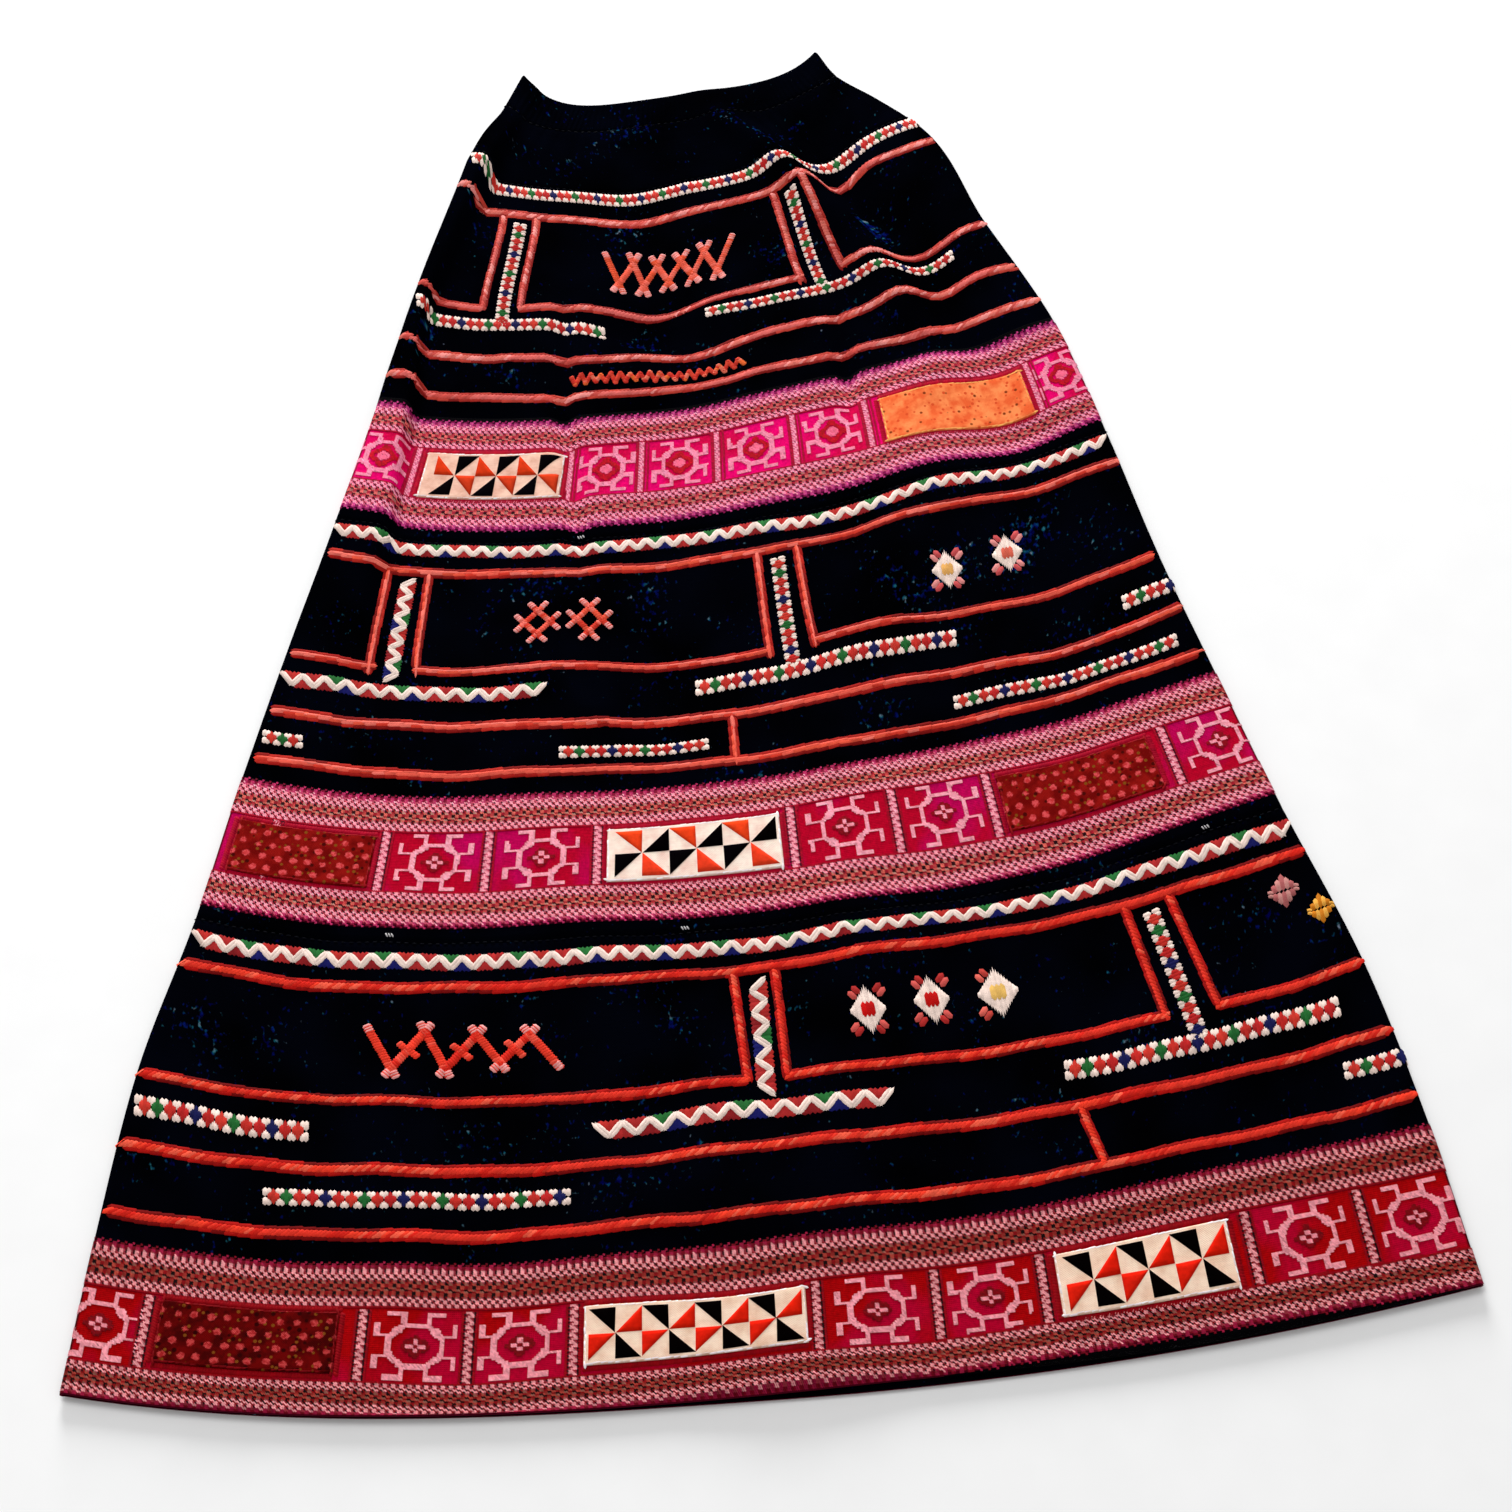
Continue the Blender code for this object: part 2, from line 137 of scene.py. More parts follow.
# The folds of the front, each a line of stations. width is the fold's half width, height lifts the cloth, and
# slip shifts it towards the waist.
Station = namedtuple("Station", "down across width height slip")
EDGE_PLEAT = rows_of(Station, [
    (0, -0.90, 6, 3, 0),
    (32, -0.91, 6, 6, 0.5),
    (60, -0.915, 5, 11, 7),
    (82, -0.924, 5, 15, 13),
    (98, -0.94, 5, 14, 12),
    (173, -0.962, 5, 10, 7),
    (211, -0.953, 5, 10, 6),
    (239, -0.918, 5, 10, 7),
    (260, -0.912, 6, 9, 4),
    (345, -0.87, 8, 7, 4),
    (437, -0.86, 10, 2, 1),
    (500, -0.86, 10, 0, 0),
])
FOLDS = {
    "diagonal ridge": rows_of(Station, [
        (0, 0.20, 14, 1.5, 0),
        (40, 0.30, 13, 6, 1),
        (84, 0.38, 13, 9, 5),
        (100, 0.41, 13, 9, 5),
        (174, 0.58, 15, 7, 2),
        (211, 0.61, 16, 6, 3),
        (245, 0.66, 14, 4, 1),
        (300, 0.56, 30, 2, 1),
        (356, 0.50, 36, 4, 3),
        (437, 0.33, 36, 4, 3),
        (520, 0.24, 36, 2, 1),
        (642, 0.20, 36, 3, 2),
        (760, 0.10, 45, 2, 1),
        (880, 0.05, 50, 2, 1),
    ]),
    "right valley": rows_of(Station, [
        (20, 0.55, 12, -1, 0),
        (84, 0.62, 20, -6, -8),
        (100, 0.58, 13, -6, -10),
        (174, 0.76, 22, -5, -8),
        (211, 0.75, 16, -4, -4),
        (245, 0.68, 26, -3, -5),
        (265, 0.80, 30, -2, -5),
        (335, 0.80, 30, -2, -6),
        (356, 0.80, 30, -2, -2),
        (475, 0.72, 36, -1.5, -2),
        (642, 0.55, 40, -1, -1),
        (760, 0.50, 40, 0, 0),
    ]),
    "middle valley": rows_of(Station, [
        (40, -0.25, 30, -1, 0),
        (84, -0.28, 40, -3, -6),
        (174, -0.16, 30, -4, -10),
        (188, -0.26, 30, -4, -10),
        (211, -0.06, 30, -3, -9),
        (250, -0.10, 40, -2, -3),
        (348, -0.12, 40, -2, -2),
        (455, -0.12, 40, -2, -3),
        (520, -0.10, 40, 0, 0),
    ]),
    "left swell": rows_of(Station, [
        (110, -0.56, 20, 0, 0),
        (174, -0.52, 24, 2, 3),
        (230, -0.50, 30, 0, 0),
        (340, -0.36, 30, 0, 0),
        (437, -0.42, 30, 2, 2),
        (520, -0.42, 36, 2, 1),
        (625, -0.28, 40, 2, 1),
        (720, -0.10, 40, 2, 1),
        (800, -0.02, 45, 2, 1),
        (880, -0.02, 45, 2, 1),
    ]),
    "left tuck": rows_of(Station, [
        (130, -0.52, 6, 0, 0),
        (174, -0.50, 6, -2, -1),
        (254, -0.47, 6, -3, -2),
        (345, -0.39, 7, -2, -2),
        (400, -0.36, 8, 0, 0),
    ]),
    "right tuck": rows_of(Station, [
        (190, 0.41, 6, 0, 0),
        (212, 0.40, 6, -2, -1),
        (262, 0.37, 6, -3, -3),
        (310, 0.35, 7, 0, 0),
    ]),
    "hem flute left": rows_of(Station, [
        (640, -0.50, 40, 0, 0),
        (760, -0.38, 40, -1, -2),
        (880, -0.45, 40, -1, -2),
    ]),
    "hem flute far left": rows_of(Station, [
        (590, -0.78, 34, 0, 0),
        (700, -0.76, 34, -1, -2),
        (800, -0.72, 34, -1, -1),
        (880, -0.78, 34, 1, 0),
    ]),
}

# The creases of the front, each from one place to another. width is half of the crease's width, and height is
# below zero for a trough.
Crease = namedtuple("Crease", "down across to_down to_across width height")
CREASES = rows_of(Crease, [
    (16, 0.35, 94, 0.45, 5, 1.3),
    (110, 0.49, 172, 0.72, 6, 1.5),
    (28, -0.58, 74, -0.64, 4, 0.9),
    (34, 0.02, 90, -0.06, 6, 1.0),
    (96, -0.34, 154, -0.24, 7, 1.0),
    (118, 0.00, 172, 0.10, 7, -0.8),
    (104, -0.86, 168, -0.84, 5, 0.8),
    (188, -0.74, 238, -0.60, 6, 1.1),
    (206, 0.20, 266, 0.04, 7, 1.0),
    (276, -0.18, 352, -0.06, 9, 0.8),
    (268, 0.86, 338, 0.93, 8, 0.9),
    (352, 0.29, 434, 0.37, 8, -0.9),
    (374, -0.58, 432, -0.50, 8, 0.8),
    (392, 0.93, 442, 0.985, 5, 1.1),
    (428, -0.47, 508, -0.18, 6, 1.4),
    (464, 0.60, 524, 0.71, 9, 0.8),
    (498, 0.25, 534, 0.17, 5, 1.1),
    (548, -0.62, 640, -0.68, 10, 0.9),
    (598, 0.14, 664, 0.20, 5, 1.5),
    (618, -0.33, 702, -0.20, 9, 0.8),
    (646, 0.52, 708, 0.61, 9, -0.9),
    (684, -0.74, 744, -0.70, 6, 1.1),
    (696, -0.36, 738, -0.33, 5, 1.2),
    (738, -0.26, 798, -0.13, 6, 1.3),
    (742, 0.29, 804, 0.43, 10, 0.8),
    (768, 0.80, 862, 0.89, 10, 0.9),
    (778, -0.52, 882, -0.60, 12, 1.0),
    (806, 0.16, 882, 0.12, 11, 0.8),
])

# The creases of the back, whose heights press up from the floor
BACK_CREASES = rows_of(Crease, [
    (120, -0.40, 210, -0.50, 9, 0.5),
    (140, 0.35, 240, 0.42, 10, 0.5),
    (290, 0.05, 380, 0.12, 11, 0.5),
    (400, -0.62, 500, -0.55, 10, 0.4),
    (430, 0.55, 520, 0.48, 9, 0.5),
    (560, -0.10, 660, -0.20, 12, 0.4),
    (640, 0.62, 760, 0.70, 10, 0.5),
    (700, -0.70, 800, -0.60, 11, 0.5),
    (760, 0.20, 860, 0.28, 12, 0.4),
])

# The pieces of cloth that are sewn in rings, from the waist down
Ring = namedtuple("Ring", "name top bottom band_top band_bottom")
RINGS = rows_of(Ring, [
    ("waistband", 0, 26, None, None),
    ("yoke", 26, 76, None, None),
    ("tier_1", 76, 348, 255, 340),
    ("tier_2", 348, 617, 523, 608),
    ("tier_3", 617, 882, 799.5, 882),
])

# Where the front has settled lower or higher than its folds say, each a soft patch of slip towards the waist
Settling = namedtuple("Settling", "across down wide tall slip")
SETTLINGS = rows_of(Settling, [
    (0.18, 882, 0.30, 26, 3.2),
    (0.33, 604, 0.26, 26, -7.0),
    (0.66, 604, 0.20, 24, -3.5),
    (0.32, 354, 0.24, 18, -3.6),
    (0.00, 130, 0.90, 45, -3.0),
    (-0.35, 205, 0.16, 26, -3.5),
    (0.68, 310, 0.14, 30, -3.5),
    (0.10, 405, 0.70, 35, -2.5),
    (0.10, 500, 0.62, 60, -4.2),
    (0.28, 505, 0.22, 30, -1.8),
    (-0.10, 618, 0.22, 35, -3.0),
    (-0.22, 725, 0.10, 28, -3.5),
    (-0.05, 825, 0.12, 35, -3.5),
    (0.68, 815, 0.26, 35, 5.0),
    (0.82, 465, 0.18, 35, -3.5),
    (0.85, 700, 0.18, 40, -2.8),
])

# Painted highlights on the front's fold ridges, where the dark cloth is painted bluer with denser flecks,
# each
# # streak from one place to another. width is half of its width.
RIDGE_HIGHLIGHTS = rows_of(Crease, [
    (48, -0.55, 20, 0.05, 9, 1.0),
    (18, 0.20, 72, 0.46, 5, 1.5),
    (122, 0.55, 166, 0.70, 5, 1.6),
    (146, 0.18, 158, 0.36, 12, 1.2),
    (104, -0.44, 112, -0.20, 9, 0.9),
    (194, -0.36, 200, -0.12, 8, 1.0),
    (214, 0.06, 206, 0.34, 7, 0.9),
    (216, 0.50, 232, 0.60, 7, 1.1),
    (190, -0.95, 208, -0.92, 5, 1.3),
    (222, -0.76, 226, -0.54, 7, 1.0),
    (424, 0.26, 384, 0.92, 26, 0.8),
    (400, 0.66, 392, 0.82, 10, 1.0),
    (384, -0.62, 388, -0.40, 9, 0.8),
    (396, -0.30, 380, -0.10, 13, 0.8),
    (456, 0.48, 448, 0.62, 8, 0.8),
    (470, 0.72, 474, 0.92, 12, 0.9),
    (496, 0.24, 490, 0.44, 9, 0.5),
    (655, -0.96, 700, -0.90, 20, 0.7),
    (690, -0.86, 676, -0.72, 14, 0.5),
    (676, -0.28, 668, -0.06, 14, 0.45),
    (650, 0.84, 684, 0.90, 8, 0.8),
    (728, -0.62, 724, -0.08, 11, 0.55),
    (764, -0.30, 760, -0.08, 9, 0.8),
    (752, 0.30, 748, 0.42, 9, 0.6),
    (716, 0.52, 712, 0.68, 9, 0.6),
])


def smooth(at, stations, values):
    """The smooth curve through the values at the stations, flat beyond its ends."""
    stations = np.asarray(stations, float)
    values = np.asarray(values, float)
    at = np.clip(at, stations[0], stations[-1])
    slopes = np.gradient(values, stations)
    i = np.clip(np.searchsorted(stations, at) - 1, 0, len(stations) - 2)
    step = stations[i + 1] - stations[i]
    t = (at - stations[i]) / step
    rising = t * t * (3 - 2 * t)
    start_slope = t * (1 - t) ** 2 * step * slopes[i]
    end_slope = t * t * (t - 1) * step * slopes[i + 1]
    return values[i] * (1 - rising) + values[i + 1] * rising + start_slope + end_slope


def section_value(column, down):
    return smooth(down, [s.down for s in SECTIONS], [getattr(s, column) for s in SECTIONS])


def station_values(fold, down):
    """The fold's place and size at this row, with no height past its two ends."""
    downs = [s.down for s in fold]
    values = [np.interp(down, downs, [getattr(s, column) for s in fold]) for column in Station._fields[1:]]
    across, width, height, slip = values
    within = (down >= downs[0]) & (down <= downs[-1])
    return across, width, height * within, slip * within


def half_width(down):
    return (section_value("right", down) - section_value("left", down)) / 2


def fold_shape(across, down):
    """How far the folds lift the front, and how far they shift it towards the waist."""
    lift = smooth(down, LOFT["down"], LOFT["height"]) * (1 - np.abs(across) ** EDGE_POWER)
    slip = 0.0
    for fold in FOLDS.values():
        middle, width, height, shift = station_values(fold, down)
        profile = np.exp(-(((across - middle) * half_width(down) / width) ** 2))
        lift = lift + height * profile
        slip = slip + shift * profile
    middle, width, height, shift = station_values(EDGE_PLEAT, down)
    profile = (1 - np.tanh((across - middle) * half_width(down) / (width * PLEAT_NARROWING))) / 2
    lift = np.logaddexp(0, lift * FLOOR_SHARPNESS) / FLOOR_SHARPNESS + height * profile
    return lift, slip + shift * profile


def end_rise(side, towards, down):
    """How far the end of a row on this side is lifted. towards is how far a place lies towards that end."""
    power = section_value("power_" + side, down)
    return section_value("rise_" + side, down) * np.maximum(towards, 0) ** power


def plan(across, down):
    """The point of the flat outline at this place, in millimetres from the middle of the skirt."""
    middle = (section_value("left", down) + section_value("right", down)) / 2
    rises = end_rise("left", -across, down) + end_rise("right", across, down)
    return middle + across * half_width(down), rises + section_value("tilt", down) * across - down


def footprint_middle():
    """The middle of the outline's bounding box."""
    down = np.linspace(0, SECTIONS[-1].down, OUTLINE_SAMPLES)
    sides = [plan(np.full_like(down, side), down) for side in (-1.0, 1.0)]
    across = np.linspace(-1, 1, OUTLINE_SAMPLES)
    ends = [plan(across, np.full_like(across, row)) for row in (SECTIONS[0].down, SECTIONS[-1].down)]
    xs = np.concatenate([x for x, _ in sides + ends])
    ys = np.concatenate([y for _, y in sides + ends])
    return np.array([(xs.max() + xs.min()) / 2, (ys.max() + ys.min()) / 2, 0])


HEM = SECTIONS[-1].down
MIDDLE = footprint_middle()


def crease_lift(creases, across, down):
    """How far the creases lift the cloth, each most at the middle of its length."""
    along = across * half_width(down)
    lift = np.zeros_like(along)
    for crease in creases:
        start = crease.across * half_width(crease.down)
        run = crease.to_across * half_width(crease.to_down) - start
        fall = crease.to_down - crease.down
        length = math.hypot(run, fall)
        share = ((along - start) * run + (down - crease.down) * fall) / length**2
        offset = ((along - start) * fall - (down - crease.down) * run) / length
        taper = np.sin(math.pi * np.clip(share, 0, 1))
        lift += crease.height * taper * np.exp(-((offset / crease.width) ** 2))
    return lift


def gather_lift(across, down):
    """The fine uneven gathers of the elastic, and the softer folds of the yoke that they fade into."""
    fade = 1 - np.abs(across) ** GATHER_EDGE_POWER
    phase = (math.pi * GATHERS * (across + 1) + 1.7 * np.sin(9 * across + 0.7)
             + 0.9 * np.sin(23 * across + down / 9))
    strength = 0.62 + 0.38 * np.sin(13 * across + 1) * np.sin(5 * across + 0.4)
    within = 1 / (1 + np.exp((down - GATHER_END) / GATHER_FADE))
    fine = GATHER_HEIGHT * strength * within * (1 - np.cos(phase)) / 2
    wide_phase = (math.pi * YOKE_WAVES * (across + 1) + 1.9 * np.sin(7 * across + 2)
                  + 0.8 * np.sin(17 * across + down / 30))
    wide_strength = 0.55 + 0.45 * np.sin(11 * across + 2.5)
    below = np.clip((YOKE_WAVE_END - down) / YOKE_WAVE_FADE, 0, 1) ** 1.5 * (1 - within)
    wide = YOKE_WAVE_HEIGHT * wide_strength * below * (1 - np.cos(wide_phase)) / 2
    from_edge = 0.15 + 0.85 * np.clip(down / WAIST_CALM, 0, 1)
    return (fine + wide) * fade * from_edge


def settling(across, down):
    """How far the front has slipped towards the waist apart from its folds."""
    return sum(s.slip * np.exp(-(((across - s.across) / s.wide) ** 2) - ((down - s.down) / s.tall) ** 2)
               for s in SETTLINGS)


def seam_dip(down):
    """How far the cloth sinks at the seams between the rings."""
    seams = [ring.top for ring in RINGS[1:]]
    return sum(SEAM_DIP * np.exp(-(((down - seam) / SEAM_DIP_WIDTH) ** 2)) for seam in seams)


class Front:
    """The front's cloth as a fine grid, looked up at any place, also past its edges down its rolls.

    reach is how far past an edge a stitch may begin.
    """

    reach = 3.4

    def __init__(self):
        across, down = np.meshgrid(np.linspace(-1, 1, FIELD_COLUMNS), np.linspace(0, HEM, FIELD_ROWS))
        lift, slip = fold_shape(across, down)
        lift = lift + crease_lift(CREASES, across, down) + gather_lift(across, down) - seam_dip(down)
        _, y = plan(across, down)
        flat = 2 * WALL + LAYER_GAP
        z = flat + (SIDE_ROLL_HEIGHT - flat) * np.abs(across) ** EDGE_POWER + np.maximum(lift, -MOST_SINK)
        self.depths = np.maximum(SIDE_ROLL_DEPTH, ROLL_DEPTH_SHARE * z[:, [0, -1]])
        self.edge_slips = (slip + settling(across, down))[:, [0, -1]]
        x = section_x(across, down, self.depths)
        self.points = np.stack([x, y + slip + settling(across, down), z], axis=-1) - MIDDLE
        normals = np.cross(np.gradient(self.points, axis=0), np.gradient(self.points, axis=1))
        self.normals = normals / np.linalg.norm(normals, axis=-1, keepdims=True)

    def at(self, across, down):
        """The points and the outward directions at these places."""
        column = (np.clip(across, -1, 1) + 1) / 2 * (FIELD_COLUMNS - 1)
        row = np.clip(down, 0, HEM) / HEM * (FIELD_ROWS - 1)
        c = np.minimum(column.astype(int), FIELD_COLUMNS - 2)
        r = np.minimum(row.astype(int), FIELD_ROWS - 2)
        right = (column - c)[..., None]
        low = (row - r)[..., None]

        def mix(grid):
            top = grid[r, c] * (1 - right) + grid[r, c + 1] * right
            bottom = grid[r + 1, c] * (1 - right) + grid[r + 1, c + 1] * right
            return top * (1 - low) + bottom * low

        normals = mix(self.normals)
        normals = normals / np.linalg.norm(normals, axis=-1, keepdims=True)
        points = mix(self.points)
        past = np.abs(across) > 1
        if past.any():
            points[past], normals[past] = self.round_the_edge(
                *(values[past] for values in (across, down, points, normals)))
        return points, normals

    def round_the_edge(self, across, down, points, normals):
        """Takes points on an edge on round its roll, by as far as across lies past the edge."""
        rows = np.linspace(0, HEM, FIELD_ROWS)
        right = across > 0
        side = np.where(right, 1.0, -1.0)
        depth, slip = (np.where(right, *(np.interp(down, rows, values[:, end]) for end in (1, 0)))
                       for values in (self.depths, self.edge_slips))
        height = points[:, 2] - BACK_HEIGHT
        past = (np.abs(across) - 1) * half_width(down)
        angle = np.minimum(past / ((depth + height / 2) / 2), math.pi / 2)
        share = (1 - np.cos(angle)) / 2
        points = points + np.stack([side * depth * np.sin(angle), -slip * share, -height * share], axis=-1)
        outwards = np.stack([side, np.zeros_like(side), np.zeros_like(side)], axis=-1)
        turned = normals * np.cos(angle)[:, None] + outwards * np.sin(angle)[:, None]
        return points, turned / np.linalg.norm(turned, axis=-1, keepdims=True)


def section_x(across, down, depths):
    """Where a place lies from side to side, drawn in at each edge to leave room for the roll."""
    centre = (section_value("left", down) + section_value("right", down)) / 2
    left = across * (half_width(down) - depths[:, :1])
    right = across * (half_width(down) - depths[:, 1:])
    return centre + np.where(across < 0, left, right)


class Back:
    """The back's cloth, which lies on the floor."""

    reach = -1.4

    def __init__(self, front):
        self.front = front

    def at(self, across, down):
        across, down = np.broadcast_arrays(np.asarray(across, float), np.asarray(down, float))
        shape = across.shape
        across, down = np.clip(across, -1, 1).reshape(-1, 1), np.clip(down, 0, HEM).reshape(-1, 1)
        rows = np.linspace(0, HEM, FIELD_ROWS)
        depths = np.stack([np.interp(down[:, 0], rows, side) for side in self.front.depths.T], axis=1)
        _, y = plan(across, down)
        z = BACK_HEIGHT + np.maximum(crease_lift(BACK_CREASES, across, down), 0)
        points = np.concatenate([section_x(across, down, depths), y, z], axis=1) - MIDDLE
        normals = np.broadcast_to(np.array([0.0, 0.0, -1.0]), points.shape)
        return points.reshape(shape + (3,)), normals.reshape(shape + (3,))


FRONT = Front()
BACK = Back(FRONT)


def light(color):
    """A colour as light, from the values from 0 to 255 that a screen shows it by."""
    shown = np.asarray(color, float) / 255
    return np.where(shown <= 0.04045, shown / 12.92, ((shown + 0.055) / 1.055) ** 2.4)


def lit(stops):
    return [(place, light(color)) for place, color in stops]


class Material:
    """A material whose nodes are made one call at a time."""

    def __init__(self, name, roughness, specular):
        self.material = bpy.data.materials.new(name)
        self.material.use_nodes = True
        self.tree = self.material.node_tree
        self.shader = self.tree.nodes["Principled BSDF"]
        self.shader.inputs["Roughness"].default_value = roughness
        self.shader.inputs["Specular IOR Level"].default_value = specular

    def put(self, socket, value):
        if isinstance(value, bpy.types.NodeSocket):
            self.tree.links.new(value, socket)
        else:
            socket.default_value = value

    def node(self, kind, inputs, **settings):
        """The outputs of a new node. inputs gives values or links by a socket's name or number."""
        made = self.tree.nodes.new("ShaderNode" + kind)
        for setting, value in settings.items():
            setattr(made, setting, value)
        for socket, value in inputs.items():
            self.put(made.inputs[socket], value)
        return made.outputs

    def math(self, operation, first, second=0.0):
        return self.node("Math", {0: first, 1: second}, operation=operation)[0]

    def plus(self, first, second):
        return self.math("ADD", first, second)

    def by(self, first, second):
        return self.math("MULTIPLY", first, second)

    def scaled(self, vector, scale):
        return self.node("VectorMath", {0: vector, 1: scale}, operation="MULTIPLY")[0]

    def times(self, color, factor):
        return self.node("VectorMath", {0: color, "Scale": factor}, operation="SCALE")[0]

    def noise(self, vector, scale, detail=2.0, roughness=0.5):
        inputs = {"Vector": vector, "Scale": scale, "Detail": detail, "Roughness": roughness}
        return self.node("TexNoise", inputs)["Fac"]

    def ramp(self, factor, stops, interpolation="LINEAR"):
        """The colour that a factor picks from stops, each a place from 0 to 1 and a colour."""
        made = self.tree.nodes.new("ShaderNodeValToRGB")
        made.color_ramp.interpolation = interpolation
        self.put(made.inputs[0], factor)
        elements = made.color_ramp.elements
        for place, _ in stops[2:]:
            elements.new(place)
        for element, (place, color) in zip(elements, sorted(stops)):
            element.position = place
            element.color = (*color, 1.0)
        return made.outputs[0]

    def step(self, value, low, high, kind="SMOOTHSTEP"):
        """Rises from 0 at low to 1 at high."""
        inputs = {"Value": value, "From Min": low, "From Max": high}
        return self.node("MapRange", inputs, interpolation_type=kind)[0]

    def even_step(self, value, low, high):
        return self.step(value, low, high, "LINEAR")

    def mix(self, factor, *colors):
        first, second = (c if isinstance(c, bpy.types.NodeSocket) else (*c, 1.0) for c in colors)
        return self.node("Mix", {"Factor": factor, 6: first, 7: second}, data_type="RGBA")[2]

    def attribute(self, name, output="Fac"):
        return self.node("Attribute", {}, attribute_name=name)[output]

    def cloth_place(self):
        """Millimetres along the row and down, from the mesh's own layout."""
        return self.scaled(self.node("UVMap", {}, uv_map="Cloth")[0], (1 / MM,) * 3)

    def parts(self, vector):
        return self.node("SeparateXYZ", {0: vector})

    def threads(self, place, pitch):
        """The height of a plain weave whose threads are this far apart."""
        x, y, _ = self.parts(place)
        turn = 2 * math.pi / pitch
        return self.by(self.math("SINE", self.by(x, turn)), self.math("SINE", self.by(y, turn)))

    def finish(self, color, height=None, distance=0.0004, strength=0.5):
        """Gives the shader its colour, and a height as a bump."""
        self.put(self.shader.inputs["Base Color"], color)
        if height is not None:
            inputs = {"Strength": strength, "Distance": distance, "Height": height}
            self.put(self.shader.inputs["Normal"], self.node("Bump", inputs)[0])
        return self.material


# The blues of the cloth's flecks, which also paint the highlights on fold ridges, and the near blacks of the
# # rest, each with the place where it lies in its noise
FLECK_AND_HIGHLIGHT_BLUES = [(0.38, (2, 2, 62)), (0.54, (4, 20, 84)), (0.59, (8, 56, 88)), (0.65, (20, 84, 96)),
              (0.76, (104, 114, 134))]
DARK_BLUES = [(0.35, (1, 1, 2)), (0.65, (2, 3, 9))]


def indigo_material():
    """Dark cloth with blue flecks, which are denser on the fold ridges as painted highlights."""
    made = Material("indigo_handwoven", roughness=1.0, specular=0.0)
    place = made.cloth_place()
    # The attribute marks painted highlights on the fold ridges, where the flecks are denser
    ridge_highlight = made.attribute("Wear")
    flecks = made.noise(made.scaled(place, (1.0, 0.7, 1.0)), 0.36, 1.5, 0.6)
    clouds = made.noise(place, 0.03, 3.0, 0.6)
    reach = made.plus(made.by(ridge_highlight, 0.15), made.by(clouds, 0.62))
    amount = made.step(made.plus(flecks, reach), 0.975, 1.15)
    hue = made.plus(made.noise(place, 0.16, 1.0), made.by(ridge_highlight, 0.03))
    base = made.ramp(made.noise(place, 0.018, 2.0), lit(DARK_BLUES))
    color = made.mix(amount, base, made.ramp(hue, lit(FLECK_AND_HIGHLIGHT_BLUES)))
    slubs = made.noise(made.scaled(place, (1.0, 6.0, 1.0)), 0.12, 3.0)
    height = made.plus(made.by(made.threads(place, 1.5), 0.3), slubs)
    return made.finish(color, height, distance=0.0005, strength=0.35)


# How far a band's colours go on past its end, so that the hem's edge has the last of them
PAST_BAND = 1.5
BAND_BLACK = (2, 1, 3)


def band_material(name, ring, band):
    """The ground of a band: its colour by row, patchy in its cells, with the grid of the stitches on it."""
    made = Material(name, roughness=0.95, specular=0.03)
    place = made.cloth_place()
    x, y, _ = made.parts(place)
    start, end = ring.band_top, ring.band_bottom + PAST_BAND
    black = light(BAND_BLACK)
    comb, border, edge, ground, tint = (light(band[k]) for k in ("comb", "border", "edge", "ground", "tint"))
    comb_start, top_border, cell_top, cell_bottom, low_border, low_comb, low_end = band["rows"]
    if ring.name == "tier_3":
        lens = made.math("SINE", made.by(made.even_step(x, *HEM_STRIP), math.pi))
        fall = made.even_step(y, cell_top, cell_bottom)
        y = made.plus(y, made.by(made.by(lens, fall), HEM_STRIP_DEPTH))
    rows = [(start, black), (comb_start + 1.5, comb), (top_border, border), (cell_top - 1.4, edge),
            (cell_top, ground), (cell_bottom, edge), (low_border, border), (low_comb, comb),
            (low_end - 0.5, black)]
    rows = [(max(0.0, min(1.0, (row - start) / (end - start))), color) for row, color in rows]
    by_row = made.ramp(made.even_step(y, start, end), rows, "CONSTANT")
    patchy = made.step(made.noise(made.scaled(place, (1.0, 0.6, 1.0)), 0.022, 2.5), 0.46, 0.60)
    in_cells = made.by(made.math("GREATER_THAN", y, cell_top), made.math("LESS_THAN", y, cell_bottom))
    tinted = made.mix(made.by(patchy, in_cells), by_row, tint)
    tinted = made.mix(made.by(made.attribute("Rim"), in_cells), tinted, border)
    uneven = made.plus(0.55, made.by(made.noise(place, 0.5, 2.5), 0.9))
    grid = made.math("ABSOLUTE", made.threads(place, 2.0))
    bumps = made.plus(grid, made.by(made.noise(place, 0.9), 0.5))
    return made.finish(made.times(tinted, uneven), bumps, distance=0.0004, strength=0.5)


def thread_material(name, specular):
    """Thread in the colour that its points carry, uneven along its length."""
    made = Material(name, roughness=0.75, specular=specular)
    place = made.scaled(made.node("TexCoord", {})["Object"], (1 / MM,) * 3)
    uneven = made.plus(0.68, made.by(made.noise(place, 0.3, 2.5), 0.64))
    fibres = made.noise(made.scaled(place, (1.0, 1.0, 0.4)), 2.6, 2.0)
    color = made.times(made.attribute("Thread", "Color"), uneven)
    return made.finish(color, fibres, distance=0.0003, strength=0.4)


def cotton_material(name, color, edge):
    """Plain light cotton with slubs, paler or warmer in places."""
    made = Material(name, roughness=0.9, specular=0.08)
    place = made.cloth_place()
    tone = made.ramp(made.noise(place, 0.09, 3.0, 0.6), lit([(0.32, edge), (0.6, color)]))
    slubs = made.noise(made.scaled(place, (0.25, 3.0, 1.0)), 0.5, 2.0)
    shade = made.plus(0.9, made.by(slubs, 0.2))
    height = made.plus(made.threads(place, 1.2), made.by(slubs, 1.4))
    return made.finish(made.times(tone, shade), height, distance=0.0003, strength=0.35)


# The printed flowers: how far the first row is from the patch's top, and how far apart rows and flowers are
FLOWER_TOP = 5.4
FLOWER_ROWS = 7.6
FLOWER_COLUMNS = 8.4


